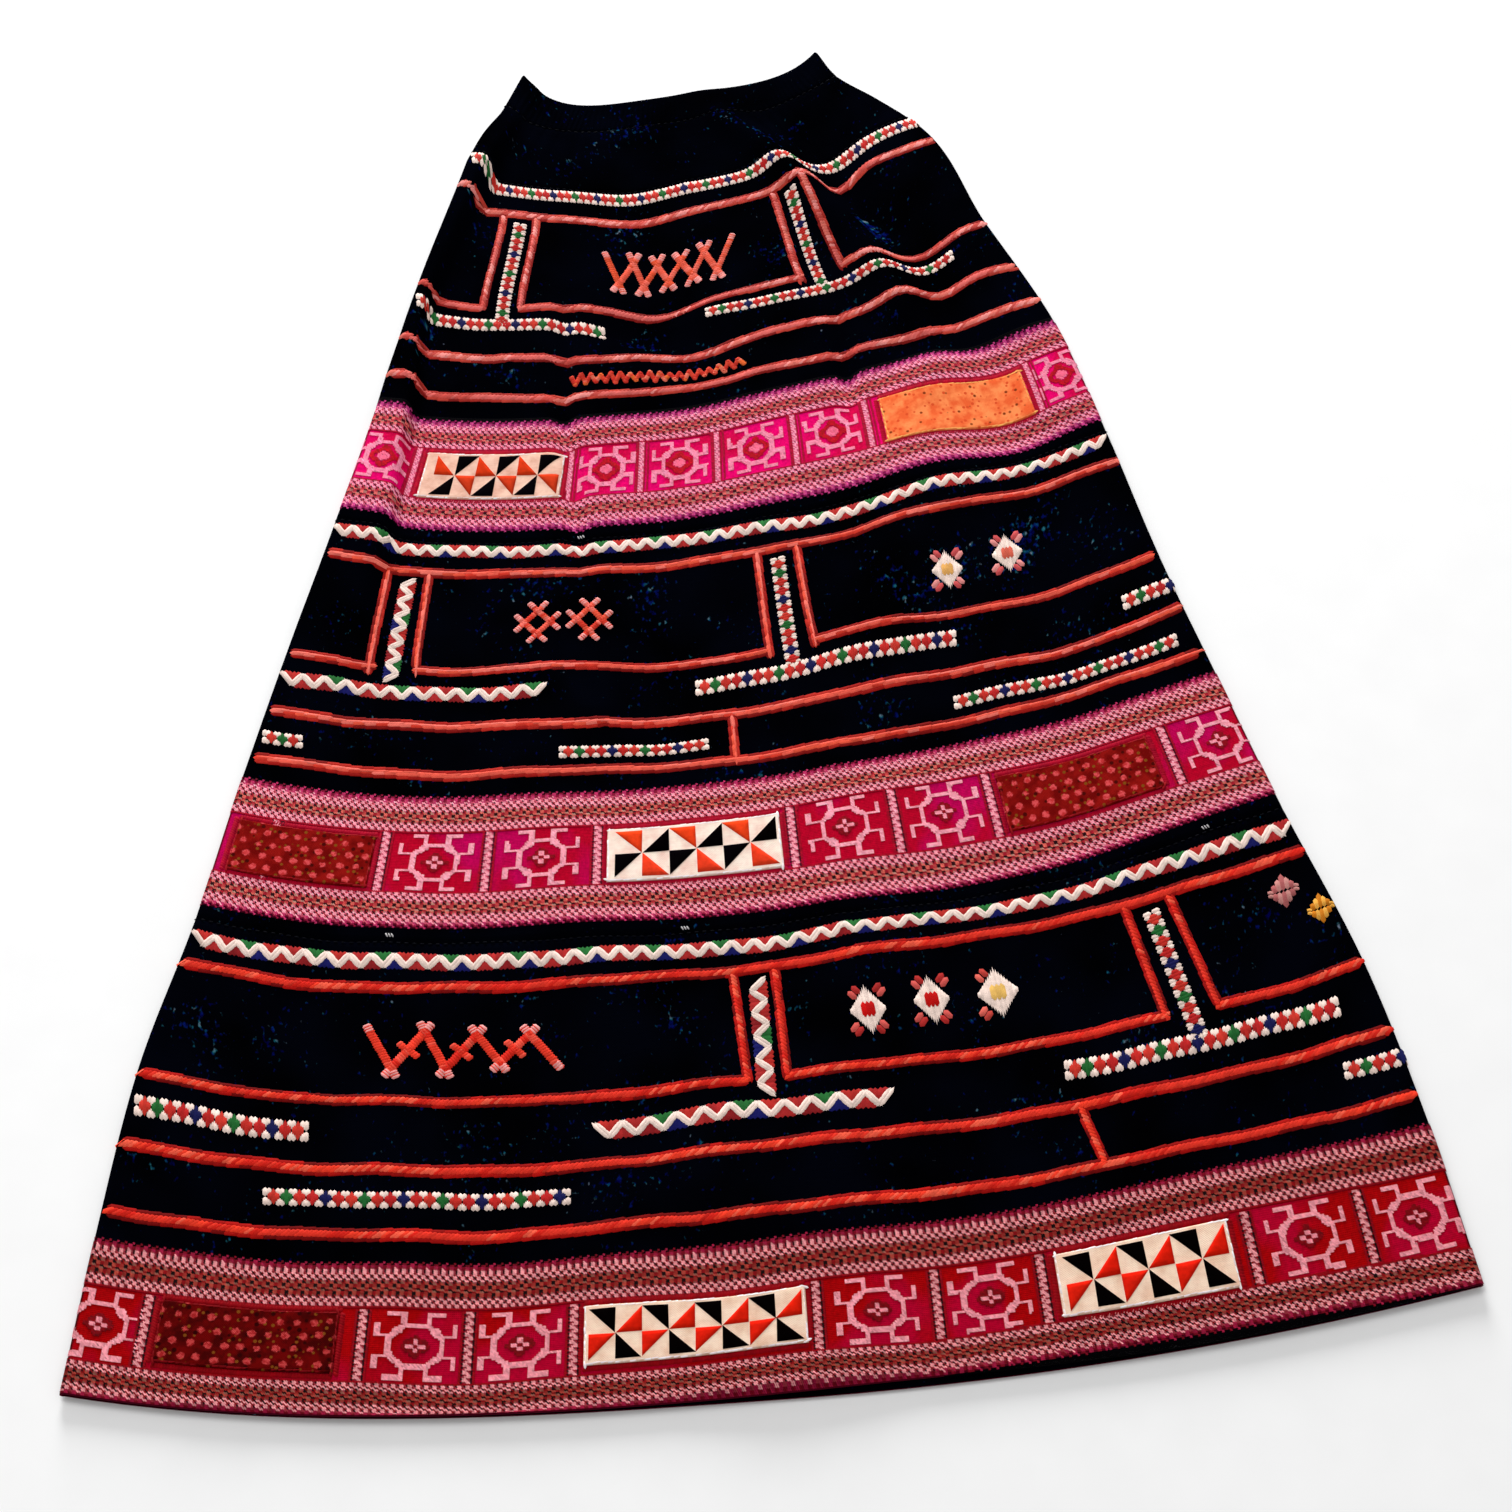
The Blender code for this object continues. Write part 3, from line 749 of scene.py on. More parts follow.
def dotted_material(name, base, dark, flower, dots):
    """Printed cotton: a cloudy base, staggered flowers if it has them, and small dots between.

    Each of the dots has a colour, how far apart they are and their size as a share of that.
    """
    made = Material(name, roughness=0.95, specular=0.03)
    place = made.cloth_place()
    color = made.ramp(made.noise(place, 0.09, 3.0, 0.6), lit([(0.40, dark), (0.60, base)]))

    def spots(vector, randomness, size, soft, ragged=0.0):
        inputs = {"Vector": vector, "Scale": 1.0, "Randomness": randomness}
        distance = made.node("TexVoronoi", inputs)["Distance"]
        distance = made.plus(distance, made.by(made.noise(place, 0.75, 1.0), ragged))
        return made.math("SUBTRACT", 1.0, made.step(distance, size - soft, size + soft))

    for shown, spacing, size in dots:
        dotted = spots(made.scaled(place, (1 / spacing, 1 / spacing, 1.0)), 0.75, size, 0.06)
        color = made.mix(dotted, color, light(shown))
    if flower:
        x, y, _ = made.parts(place)
        row = made.math("DIVIDE", made.math("SUBTRACT", y, FLOWER_TOP), FLOWER_ROWS)
        number = made.math("FLOOR", made.plus(row, 0.5))
        stagger = made.by(made.math("MODULO", number, 2.0), 0.5)
        column = made.plus(made.math("DIVIDE", x, FLOWER_COLUMNS), stagger)
        bloom = spots(made.node("CombineXYZ", {0: column, 1: row})[0], 0.18, 0.37, 0.05, 0.24)
        shades = made.mix(made.step(made.noise(place, 0.5, 1.0), 0.42, 0.62), *map(light, flower))
        color = made.mix(bloom, color, shades)
    return made.finish(color, made.threads(place, 1.1), distance=0.0003, strength=0.25)


def add_object(mesh, *materials):
    """An object that rides on the skirt, with the mesh's name."""
    obj = bpy.data.objects.new(mesh.name, mesh)
    bpy.context.scene.collection.objects.link(obj)
    for material in materials:
        mesh.materials.append(material)
    mesh.shade_smooth()
    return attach(obj, "root")


def mesh_of(name, points, faces, cloth_places=None):
    """A mesh from points in millimetres. cloth_places lays it out along the row and down."""
    mesh = bpy.data.meshes.new(name)
    mesh.from_pydata(points * MM, [], faces)
    if cloth_places is not None:
        layer = mesh.uv_layers.new(name="Cloth")
        layer.data.foreach_set("uv", (cloth_places[faces.ravel()] * MM).astype(np.float32).ravel())
    return mesh


def paint(mesh, colors):
    """Gives each point the colour of its thread."""
    attribute = mesh.color_attributes.new(name="Thread", type="FLOAT_COLOR", domain="POINT")
    colors = np.append(colors, np.ones((len(colors), 1)), axis=1)
    attribute.data.foreach_set("color", colors.astype(np.float32).ravel())


# The rings of cloth
def grid_faces(rows, columns, wrap_rows, wrap_columns):
    """The four corners of each cell of a grid of points, which may close on itself either way."""
    r = np.arange(rows if wrap_rows else rows - 1)[:, None]
    c = np.arange(columns if wrap_columns else columns - 1)[None, :]
    below, beside = (r + 1) % rows, (c + 1) % columns
    corners = (r * columns + c, below * columns + c, below * columns + beside, r * columns + beside)
    return np.stack([np.broadcast_to(k, (r.size, c.size)) for k in corners], axis=-1).reshape(-1, 4)


def moved_in(sections, distance):
    """The closed sections moved in, each within its own plane."""
    flat = sections[..., [0, 2]]
    sides = np.roll(flat, -1, axis=1) - flat
    normals = np.stack([-sides[..., 1], sides[..., 0]], axis=-1)
    normals /= np.linalg.norm(normals, axis=-1, keepdims=True)
    corners = normals + np.roll(normals, 1, axis=1)
    corners /= np.linalg.norm(corners, axis=-1, keepdims=True)
    reach = np.minimum(distance / np.maximum(np.sum(corners * normals, axis=-1), 0.5), 2 * distance)
    moved = sections.copy()
    moved[..., [0, 2]] -= corners * reach[..., None]
    return moved


def ring_downs(ring):
    """The rows of a ring's mesh, one of them at each edge of its band."""
    top = ring.top + (SEAM_GAP / 2 if ring.top else 0)
    bottom = ring.bottom - (SEAM_GAP / 2 if ring.bottom < HEM else 0)
    step = ROW_STEP if ring.band_top else GATHERED_ROW_STEP
    marks = [top, bottom] if ring.band_top is None else [top, ring.band_top, ring.band_bottom, bottom]
    spans = [np.linspace(a, b, max(2, round((b - a) / step) + 1)) for a, b in zip(marks, marks[1:])]
    return np.unique(np.concatenate(spans))


def add_ring(ring, materials):
    """A ring's cloth: its front, its back, the rolls between them and the inside, as one closed mesh."""
    count = FRONT_COLUMNS if ring.band_top else GATHERED_COLUMNS
    spans = ((-1, PLEAT_END, PLEAT_COLUMNS), (PLEAT_END, RIM_START, count), (RIM_START, 1, RIM_COLUMNS))
    columns = np.append(np.concatenate([np.linspace(*span)[:-1] for span in spans]), 1.0)
    downs = ring_downs(ring)
    across, down = np.meshgrid(columns, downs)
    front, _ = FRONT.at(across, down)
    back_across, back_down = np.meshgrid(np.linspace(1, -1, BACK_COLUMNS + 1), downs)
    back, _ = BACK.at(back_across, back_down)
    angles = np.linspace(0, math.pi, ROLL_STEPS + 2)[1:-1]
    share = ((1 - np.cos(angles)) / 2)[None, :, None]
    rows = np.linspace(0, HEM, FIELD_ROWS)

    def roll(start, end, side):
        depth = np.interp(downs, rows, FRONT.depths[:, 1 if side > 0 else 0])
        points = start[:, None] + (end - start)[:, None] * share
        points[..., 0] += side * depth[:, None] * np.sin(angles)[None, :]
        return points

    right_roll, left_roll = roll(front[:, -1], back[:, 0], 1), roll(back[:, -1], front[:, 0], -1)
    outer = np.concatenate([front, right_roll, back, left_roll], axis=1)
    inner_rows = np.unique(np.append(np.arange(0, len(downs), INNER_ROW_STEP), len(downs) - 1))
    inner = moved_in(outer[inner_rows], WALL)
    loops = np.concatenate([outer, inner[::-1]])
    faces = grid_faces(*loops.shape[:2], True, True)

    # The layout goes once round. Each roll keeps to its edge of the front, and the back lies to the right.
    along = across * half_width(down)
    behind = 2 * half_width(back_down) - back_across * half_width(back_down)
    right_edge, left_edge = (np.repeat(edge, ROLL_STEPS, axis=1) for edge in (along[:, -1:], along[:, :1]))
    around = np.concatenate([along, right_edge + 1.0, behind, left_edge - 1.0], axis=1)
    places = np.stack([around, np.repeat(downs[:, None], around.shape[1], axis=1)], axis=-1)
    places = np.concatenate([places, places[inner_rows][::-1]]).reshape(-1, 2)
    cloth = mesh_of(ring.name + "_cloth", loops.reshape(-1, 3), faces, places)
    obj = add_object(cloth, *materials)
    if ring.band_top is not None:
        centre = np.mean(places[faces][..., 1], axis=1)
        hem_edge = ring.band_bottom == HEM
        outside = np.arange(len(faces)) < (len(outer) - 1 + hem_edge) * outer.shape[1]
        banded = (centre > ring.band_top) & (centre <= ring.band_bottom) & outside
        obj.data.polygons.foreach_set("material_index", banded.astype(np.int32))
    # Painted highlights on the fold ridges, for the indigo material, and which points lie on the side rolls
    ridge_highlight, rim = np.zeros(loops.shape[:2]), np.zeros(loops.shape[:2])
    ridge_highlight[:len(downs), :len(columns)] = crease_lift(RIDGE_HIGHLIGHTS, across, down)
    rim[:, len(columns):len(columns) + ROLL_STEPS] = rim[:, -ROLL_STEPS:] = 1
    for title, values in (("Wear", ridge_highlight), ("Rim", rim)):
        attribute = obj.data.attributes.new(title, "FLOAT", "POINT")
        attribute.data.foreach_set("value", values.astype(np.float32).ravel())
    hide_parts(ring.name)
    return obj


# How far from the waist's edge every stitch stays
WAIST_CLEAR = 0.5

# Stitches. A shape is a list of points, each by its share of the stitch's length, its side and its rise.
BAR = (
    np.array([(0, -1, 1), (0, 1, 1), (1, -1, 1), (1, 1, 1)], float),
    np.array([(0, 3, 1), (0, 2, 3)]),
)
LEAF = (
    np.array([(0, 0, 0), (0.2, -1, 0), (0.2, 0, 1), (0.2, 1, 0),
              (0.8, -1, 0), (0.8, 0, 1), (0.8, 1, 0), (1, 0, 0)], float),
    np.array([(0, 1, 2), (0, 2, 3), (1, 4, 5), (1, 5, 2), (2, 5, 6), (2, 6, 3), (4, 7, 5), (5, 7, 6)]),
)


class Stitches:
    """Collects stitches that lie on one side of the skirt and makes one mesh of them."""

    def __init__(self, name, cloth):
        self.name, self.cloth = name, cloth
        self.points, self.faces, self.colors, self.places = [], [], [], []
        self.count = 0
        self.random = np.random.default_rng(SEED)

    def add(self, shape, start, end, width, rise, color, base=0.05, uneven=0.07):
        """Stitches between places given as across and down. width and rise are in millimetres."""
        start, end = (np.atleast_2d(places).astype(float) for places in (start, end))
        keep = np.ones(len(start), bool)
        for across, down in (start.T, end.T):
            keep &= np.abs(across) < 1 + self.cloth.reach / half_width(down)
            keep &= (down > WAIST_CLEAR) & (down < HEM)
        width, rise, base = (np.broadcast_to(values, len(start))[keep] for values in (width, rise, base))
        color = np.broadcast_to(np.asarray(color, float), (len(start), 3))[keep]
        start, end = start[keep], end[keep]
        if not len(start):
            return
        template, faces = shape
        share, side, up = template.T
        places = start[:, None] + (end - start)[:, None] * share[None, :, None]
        points, normals = self.cloth.at(places[..., 0], places[..., 1])
        towards = points[:, -1] - points[:, 0]
        sideways = np.cross(normals[:, 0], towards)
        sideways /= np.maximum(np.linalg.norm(sideways, axis=-1, keepdims=True), 1e-9)
        points = points + sideways[:, None] * (side[None, :] * width[:, None] / 2)[..., None]
        points = points + normals * (base[:, None] + up[None, :] * rise[:, None])[..., None]
        shade = 1 + uneven * self.random.standard_normal((len(start), 1))
        tinted = np.clip(color * shade, 0, 1)
        first = self.count + np.arange(len(start))[:, None, None] * len(template)
        self.faces.append((faces[None] + first).reshape(-1, 3))
        self.points.append(points.reshape(-1, 3))
        self.colors.append(np.repeat(tinted, len(template), axis=0))
        spread = [np.broadcast_to(values, points.shape[:2]) for values in (share, side)]
        self.places.append(np.stack(spread, axis=-1))
        self.count += points.shape[0] * points.shape[1]

    def flat(self, shape, start, end, width, rise, color, **more):
        """The same, between places given in millimetres from the middle line and down."""
        start, end = (across_of(np.atleast_2d(places).astype(float)) for places in (start, end))
        self.add(shape, start, end, width, rise, color, **more)

    def finish(self, material, slot):
        """The stitches as one object."""
        faces = np.concatenate(self.faces)
        mesh = mesh_of(self.name, np.concatenate(self.points), faces)
        paint(mesh, np.concatenate(self.colors))
        self.lay_out(mesh, faces)
        obj = add_object(mesh, material)
        return obj

    def lay_out(self, mesh, faces):
        """Gives each stitch its own small square of one layout."""
        total = sum(len(block) for block in self.places)
        side = math.ceil(math.sqrt(total))
        spots, number = [], 0
        for block in self.places:
            index = number + np.arange(len(block))
            corner = np.stack([index % side, index // side], axis=-1)[:, None]
            local = np.stack([0.2 + 0.6 * block[..., 0], 0.5 + 0.3 * block[..., 1]], axis=-1)
            spots.append(((corner + local) / side).reshape(-1, 2))
            number += len(block)
        spots = np.concatenate(spots)
        layer = mesh.uv_layers.new(name="OFBake")
        layer.data.foreach_set("uv", spots[faces.ravel()].astype(np.float32).ravel())


def across_of(places):
    """Places in millimetres from the middle line and down, as across and down."""
    return np.stack([places[..., 0] / half_width(places[..., 1]), places[..., 1]], axis=-1)


def flat_place(place):
    """A place given as across and down, in millimetres from the middle line and down."""
    return np.array([place[0] * float(half_width(place[1])), place[1]])


# A cross stitch: the width of its threads as a share of its size, the painted shade that darkens the under
# # thread where the upper one lies over it, and their rises
CROSS_WIDTH = 0.62
UNDER_THREAD_PAINTED_SHADE = 0.86
CROSS_RISES = (0.16, 0.30)
CROSS_UNEVEN = 0.16


def crosses(stitches, across, down, to_across, to_down, color):
    """Cross stitches, each of two threads over the rectangle between two places."""
    width = np.abs(to_down - down) * CROSS_WIDTH
    low_left, high_right = np.stack([across, to_down], -1), np.stack([to_across, down], -1)
    high_left, low_right = np.stack([across, down], -1), np.stack([to_across, to_down], -1)
    under, over = CROSS_RISES
    # The under thread is painted darker, as shade from the thread over it
    stitches.add(BAR, low_left, high_right, width, under, color * UNDER_THREAD_PAINTED_SHADE, uneven=CROSS_UNEVEN)
    stitches.add(BAR, high_left, low_right, width, over, color, uneven=CROSS_UNEVEN)


# The cross-stitched bands. Each chart's letters name colours, and a point leaves the ground cloth showing.
COMB = ["..M...m.", "MM..mm..", "MMmmMMmm", "LMmmPMmm", "MMPPMMLL"]
PEAKS = ["LLPd", "LLrP", "drLL", "PdLL", "LLrk", "gPkr"]
DOTS = ["OOkkggrr", "kkOOrroo", "ggrrkkOO", "rrOOggkk", "ookkOOrr"]
EDGE_ROW = ["E"]
SEPARATOR = ["dLLP.d", ".LLLPd", "d.PLLd", ".PLLL."]
THIN_SEPARATOR = ["ELPLE.", "EPLLE.", "ELLPE.", "EPLPE."]

# rows: where the comb, the border and the cells begin, and below them where the cells, the border and the
# comb end. unit: a star's step to the side and down. centre: the row that the stars are on.
BANDS = {
    "tier_1": dict(
        columns=434, unit=(2.55, 2.57), centre=297.6,
        rows=(257.0, 262.0, 279.3, 315.7, 317.0, 335.0, 339.6),
        separators=[-0.862, -0.431, -0.236, -0.025, 0.192, 0.402, 0.875],
        stars=[-0.944, -0.333, -0.13, 0.083, 0.297, 0.955],
        colors={"L": (255, 150, 176), "P": (220, 90, 126), "g": (176, 112, 104), "d": (96, 6, 40),
                "m": (136, 8, 78), "M": (196, 60, 128), "r": (176, 30, 56), "o": (196, 62, 70),
                "O": (224, 100, 96), "k": (54, 2, 18), "A": (255, 142, 172), "D": (190, 0, 28),
                "C": (255, 108, 142), "E": (172, 4, 48)},
        ground=(232, 0, 106), tint=(208, 2, 68), border=(116, 6, 40), comb=(70, 2, 40), edge=(168, 4, 44)),
    "tier_2": dict(
        columns=566, unit=(3.05, 2.8), centre=566.0,
        rows=(523.3, 528.4, 547.3, 585.0, 586.3, 604.0, 608.0),
        separators=[-0.91, -0.696, -0.495, -0.284, 0.097, 0.298, 0.488, 0.852],
        stars=[-0.596, -0.39, 0.197, 0.393, 0.951],
        colors={"L": (255, 156, 172), "P": (204, 80, 104), "g": (186, 130, 116), "d": (70, 2, 22),
                "m": (128, 4, 46), "M": (190, 44, 96), "r": (160, 22, 38), "o": (184, 60, 60),
                "O": (212, 96, 84), "k": (36, 1, 8), "A": (255, 160, 176), "D": (140, 0, 20),
                "C": (255, 148, 166), "E": (166, 0, 34)},
        ground=(178, 0, 36), tint=(186, 0, 80), border=(92, 2, 16), comb=(62, 1, 24), edge=(160, 0, 32)),
    "tier_3": dict(
        columns=692, unit=(3.2, 2.77), centre=844.2,
        rows=(799.5, 804.0, 825.0, 863.4, 864.7, 879.3, 883.0),
        separators=[-0.907, -0.597, -0.446, -0.296, 0.056, 0.227, 0.385, 0.694, 0.864],
        stars=[-0.972, -0.521, -0.371, 0.141, 0.306, 0.779, 0.943],
        colors={"L": (228, 144, 148), "P": (146, 44, 56), "g": (136, 80, 68), "d": (28, 1, 6),
                "m": (112, 2, 24), "M": (150, 20, 56), "r": (128, 8, 14), "o": (140, 38, 32),
                "O": (162, 58, 46), "k": (16, 1, 3), "A": (242, 150, 160), "D": (120, 0, 10),
                "C": (236, 138, 150), "E": (142, 0, 16)},
        ground=(158, 0, 4), tint=(170, 0, 40), border=(72, 1, 6), comb=(80, 2, 26), edge=(138, 0, 14)),
}

# The dark strip left below the last band at the right: its two ends along the hem, and its depth
HEM_STRIP = (70.0, 352.0)
HEM_STRIP_DEPTH = 5.0

# The star in units from its middle, each line between two points: its sides, and one of its four corners
STAR_LINES = [
    ((-1.7, -4.0), (1.7, -4.0)),
    ((-1.7, 4.0), (1.7, 4.0)),
    ((-4.0, -1.7), (-4.0, 1.7)),
    ((4.0, -1.7), (4.0, 1.7)),
]
STAR_CORNER = [
    ((1.7, -4.0), (4.0, -1.7)),
    ((1.9, -4.0), (1.9, -6.0)),
    ((1.9, -6.0), (4.1, -6.0)),
    ((4.0, -1.9), (6.1, -1.9)),
    ((6.1, -1.9), (6.1, -4.1)),
]


def line_distance(u, v, line):
    """How far places are from a line, by the greater of the distances to the side and down."""
    (ax, ay), (bx, by) = line
    dx, dy = bx - ax, by - ay
    share = np.clip(((u - ax) * dx + (v - ay) * dy) / (dx * dx + dy * dy), 0, 1)
    return np.maximum(np.abs(u - ax - share * dx), np.abs(v - ay - share * dy))


def star_code(u, v, half, diamond):
    """The star's letters at points given in units from its middle. half is half of its line's width."""
    fu, fv = np.abs(u), -np.abs(v)
    lines = np.full(u.shape, 9.0)
    for line in STAR_LINES:
        lines = np.minimum(lines, line_distance(u, v, line))
    for line in STAR_CORNER:
        lines = np.minimum(lines, line_distance(fu, fv, line))
    code = np.full(u.shape, ".")
    reach = np.abs(u) + np.abs(v)
    if diamond:
        code[(reach > 2.0) & (reach < 3.7)] = "D"
        code[(reach < 1.75) & (np.maximum(np.abs(u), np.abs(v)) < 1.25)] = "C"
    else:
        low, high = np.minimum(np.abs(u), np.abs(v)), np.maximum(np.abs(u), np.abs(v))
        code[reach < 2.4] = "D"
        code[(low < 0.4) & (np.abs(high - 0.98) < 0.42)] = "C"
    code[lines < half] = "A"
    return code


def hem_strip_lift(along):
    """How far the last band's lower rows are drawn up where the dark strip shows below them."""
    share = np.clip((along - HEM_STRIP[0]) / (HEM_STRIP[1] - HEM_STRIP[0]), 0, 1)
    return HEM_STRIP_DEPTH * np.sin(math.pi * share)


# The size of a star's steps, two of which make the width of its lines, and half of the square that holds it
CHART_STEP = 1.2
STAR_HALF = 6.8

# The rows of stitches that edge the cells, and the columns of a separator
EDGE_DEPTH = 1.2
SEPARATOR_COLUMNS = 6


def band_chart(ring, band, across, down):
    """The letter of each stitch of a band."""
    code = np.full(across.shape, ".")
    column = np.round((across + 1) / 2 * band["columns"] - 0.5).astype(int)
    comb_start, top_border, cell_top, cell_bottom, low_border, low_comb, low_end = band["rows"]
    if ring.name == "tier_3":
        fall = np.clip((down - cell_top) / (cell_bottom - cell_top), 0, 1)
        down = down + hem_strip_lift(across * half_width(down)) * fall

    def border(top, bottom):
        high, low = top + (bottom - top) / 3, bottom - (bottom - top) / 3
        return [(PEAKS, top, high), (DOTS, high, low), (PEAKS[::-1], low, bottom)]

    parts = [(COMB, comb_start, top_border), (EDGE_ROW, cell_top - EDGE_DEPTH, cell_top),
             (EDGE_ROW, cell_bottom, low_border), (COMB[::-1], low_comb, low_end)]
    parts += border(top_border, cell_top - EDGE_DEPTH) + border(low_border, low_comb)
    for chart, top, bottom in parts:
        number = np.floor((down - top) / (bottom - top) * len(chart)).astype(int)
        for index, letters in enumerate(chart):
            here = number == index
            code[here] = np.array(list(letters))[column[here] % len(letters)]
    width = half_width(down)
    in_cells = (down > cell_top) & (down < cell_bottom)
    chart = THIN_SEPARATOR if ring.name == "tier_1" else SEPARATOR
    pattern = np.array([list(line) for line in chart])
    for place in band["separators"]:
        offset = np.floor((across - place) * width + SEPARATOR_COLUMNS / 2).astype(int)
        here = in_cells & (offset >= 0) & (offset < SEPARATOR_COLUMNS)
        code[here] = pattern[(down[here] - cell_top).astype(int) % len(chart), offset[here]]
        code[in_cells & ((offset == -1) | (offset == SEPARATOR_COLUMNS))] = "E"
    for place in band["stars"]:
        u, v = ((np.floor(offset / CHART_STEP) + 0.5) * CHART_STEP / unit
                for offset, unit in zip(((across - place) * width, down - band["centre"]), band["unit"]))
        here = in_cells & (np.abs(u) < STAR_HALF) & (np.abs(v) < STAR_HALF) & (code == ".")
        code[here] = star_code(u[here], v[here], CHART_STEP / band["unit"][0], ring.name == "tier_1")
    return code


def under_patch(ring, across, down):
    """Whether a place lies well under a patch, where stitches wouldn't be seen."""
    hidden = np.zeros(across.shape, bool)
    for patch in PATCHES:
        if patch.ring == ring.name:
            margin = UNDER_MARGIN / half_width(patch.middle)
            wide = (across > patch.left + margin) & (across < patch.right - margin)
            hidden |= wide & (np.abs(down - patch.middle) < patch.height / 2 - UNDER_MARGIN)
    return hidden


# The columns of stitches that run on past each edge of the front, and how far they go on under a patch
WRAPPED_COLUMNS = 3
UNDER_MARGIN = 2.0


def add_band(ring, cloth, name, pitch, thread):
    """A band's cross stitches, which are about as wide and as tall as the pitch."""
    band = BANDS[ring.name]
    columns = round(band["columns"] / pitch)
    rows = int((ring.band_bottom - ring.band_top) / pitch)
    edges = np.arange(-WRAPPED_COLUMNS, columns + WRAPPED_COLUMNS + 1) * 2 / columns - 1
    across, down = np.meshgrid((edges[1:] + edges[:-1]) / 2, ring.band_top + (np.arange(rows) + 0.5) * pitch)
    code = band_chart(ring, band, across, down)
    if cloth is FRONT:
        code[under_patch(ring, across, down)] = "."
    stitches = Stitches(name, cloth)
    for letter, shown in band["colors"].items():
        here = code == letter
        a, d = across[here], down[here]
        half = 1.0 / columns
        crosses(stitches, a - half, d - pitch / 2, a + half, d + pitch / 2, light(shown))
    return stitches.finish(thread, "embroidered_cloth")


# Patches
Patch = namedtuple("Patch", "name ring left right middle height")
PATCHES = rows_of(Patch, [
    ("patch_pinwheel_1", "tier_1", -0.838, -0.455, 299, 34.0),
    ("patch_dotted_1", "tier_1", 0.44, 0.854, 299, 34.0),
    ("patch_dotted_2_left", "tier_2", -0.983, -0.716, 567, 33.0),
    ("patch_pinwheel_2", "tier_2", -0.264, 0.073, 567, 34.0),
    ("patch_dotted_2_right", "tier_2", 0.507, 0.818, 567, 33.0),
    ("patch_dotted_3", "tier_3", -0.889, -0.633, 843.5, 33.0),
    ("patch_pinwheel_3", "tier_3", -0.280, 0.040, 843, 32.0),
    ("patch_pinwheel_3_right", "tier_3", 0.406, 0.666, 843, 32.0),
])

# How far a patch stands off the band, how wide its turned edge is, and how finely it is divided
PATCH_RISE = 1.1
PATCH_ROLL = 1.1
PATCH_STEP = 2.2

# Each pinwheel patch: how many squares long, the blank at its left, the corner that the top row's two
# triangles and the bottom row's two fill, and their colours
Pinwheel = namedtuple("Pinwheel", "squares blank top bottom colors")
PINWHEELS = {
    "patch_pinwheel_1": Pinwheel(6, 4.5, ("low left", "high left"), ("low right", "high right"),
                                 ((206, 54, 22), (6, 4, 6), (8, 5, 8), (202, 58, 28))),
    "patch_pinwheel_2": Pinwheel(6, 2.0, ("high right", "low right"), ("high left", "low left"),
                                 ((232, 64, 26), (4, 2, 3), (5, 3, 5), (228, 60, 32))),
    "patch_pinwheel_3": Pinwheel(8, 0.0, ("high right", "low right"), ("high left", "low left"),
                                 ((4, 2, 2), (212, 30, 12), (214, 30, 14), (4, 2, 2))),
    "patch_pinwheel_3_right": Pinwheel(6, 1.5, ("high right", "low right"), ("high left", "low left"),
                                       ((4, 2, 2), (212, 28, 12), (214, 30, 14), (4, 2, 2))),
}

# The triangles: how finely they are divided, how far they stay from the patch's edge, how far apart the two
# rows are, the share of their corner that they fill, how unevenly they are cut and how they rise
TRIANGLE_PARTS = 6
TRIANGLE_MARGIN = 2.2
TRIANGLE_ROW_GAP = 1.0
TRIANGLE_SHARE = 0.99
TRIANGLE_UNEVEN = 0.012
TRIANGLE_RISE = 0.5
TRIANGLE_BASE = 0.18


def patch_rise(x, y, width, height):
    """How far the patch stands off the band, rounded down at its turned edges."""
    edge = np.minimum(np.minimum(x, width - x), np.minimum(y, height - y))
    share = np.clip(edge / PATCH_ROLL, 0, 1)
    return 0.25 + PATCH_RISE * np.sqrt(1 - (1 - share) ** 2)


def patch_lines(size):
    """The places of a patch's grid along one side, closer together at the turned edges."""
    turned, far = np.linspace(0, PATCH_ROLL, 4), np.linspace(size - PATCH_ROLL, size, 4)
    middle = np.linspace(PATCH_ROLL, size - PATCH_ROLL, round(size / PATCH_STEP))
    return np.unique(np.concatenate([turned, middle, far]))


def patch_width(patch):
    return (patch.right - patch.left) * float(half_width(patch.middle))


def on_patch(patch, x, y):
    """The points of the front and their outward directions at millimetres from a patch's top left corner."""
    across = patch.left + x / patch_width(patch) * (patch.right - patch.left)
    return FRONT.at(across, patch.middle - patch.height / 2 + y)


def add_patch(patch, material):
    """A patch's cloth, a little uneven, with rounded edges."""
    width = patch_width(patch)
    x, y = np.meshgrid(patch_lines(width), patch_lines(patch.height))
    points, normals = on_patch(patch, x, y)
    bumps = 0.12 * np.sin(x / 5.1 + y / 9.0) * np.sin(y / 4.3 + 1.0)
    top = points + normals * (patch_rise(x, y, width, patch.height) + bumps)[..., None]
    bottom = points + normals * 0.12
    rows, columns = x.shape
    upper = grid_faces(rows, columns, False, False)
    lower = upper[:, ::-1] + rows * columns
    index = np.arange(rows * columns).reshape(rows, columns)
    rim = np.concatenate([index[0, :-1], index[:-1, -1], index[-1, :0:-1], index[:0:-1, 0]])
    after = np.roll(rim, -1)
    sides = np.stack([rim, after, after + rows * columns, rim + rows * columns], axis=-1)
    faces = np.concatenate([upper, lower, sides])
    places = np.tile(np.stack([x, y], axis=-1).reshape(-1, 2), (2, 1))
    points = np.concatenate([top.reshape(-1, 3), bottom.reshape(-1, 3)])
    obj = add_object(mesh_of(patch.name + "_cloth", points, faces, places), material)
    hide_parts(patch.name)
    return obj


CORNERS = {"low left": ((0, 0), (0, 1), (1, 1)), "high left": ((0, 0), (1, 0), (0, 1)),
           "low right": ((1, 0), (1, 1), (0, 1)), "high right": ((0, 0), (1, 0), (1, 1))}


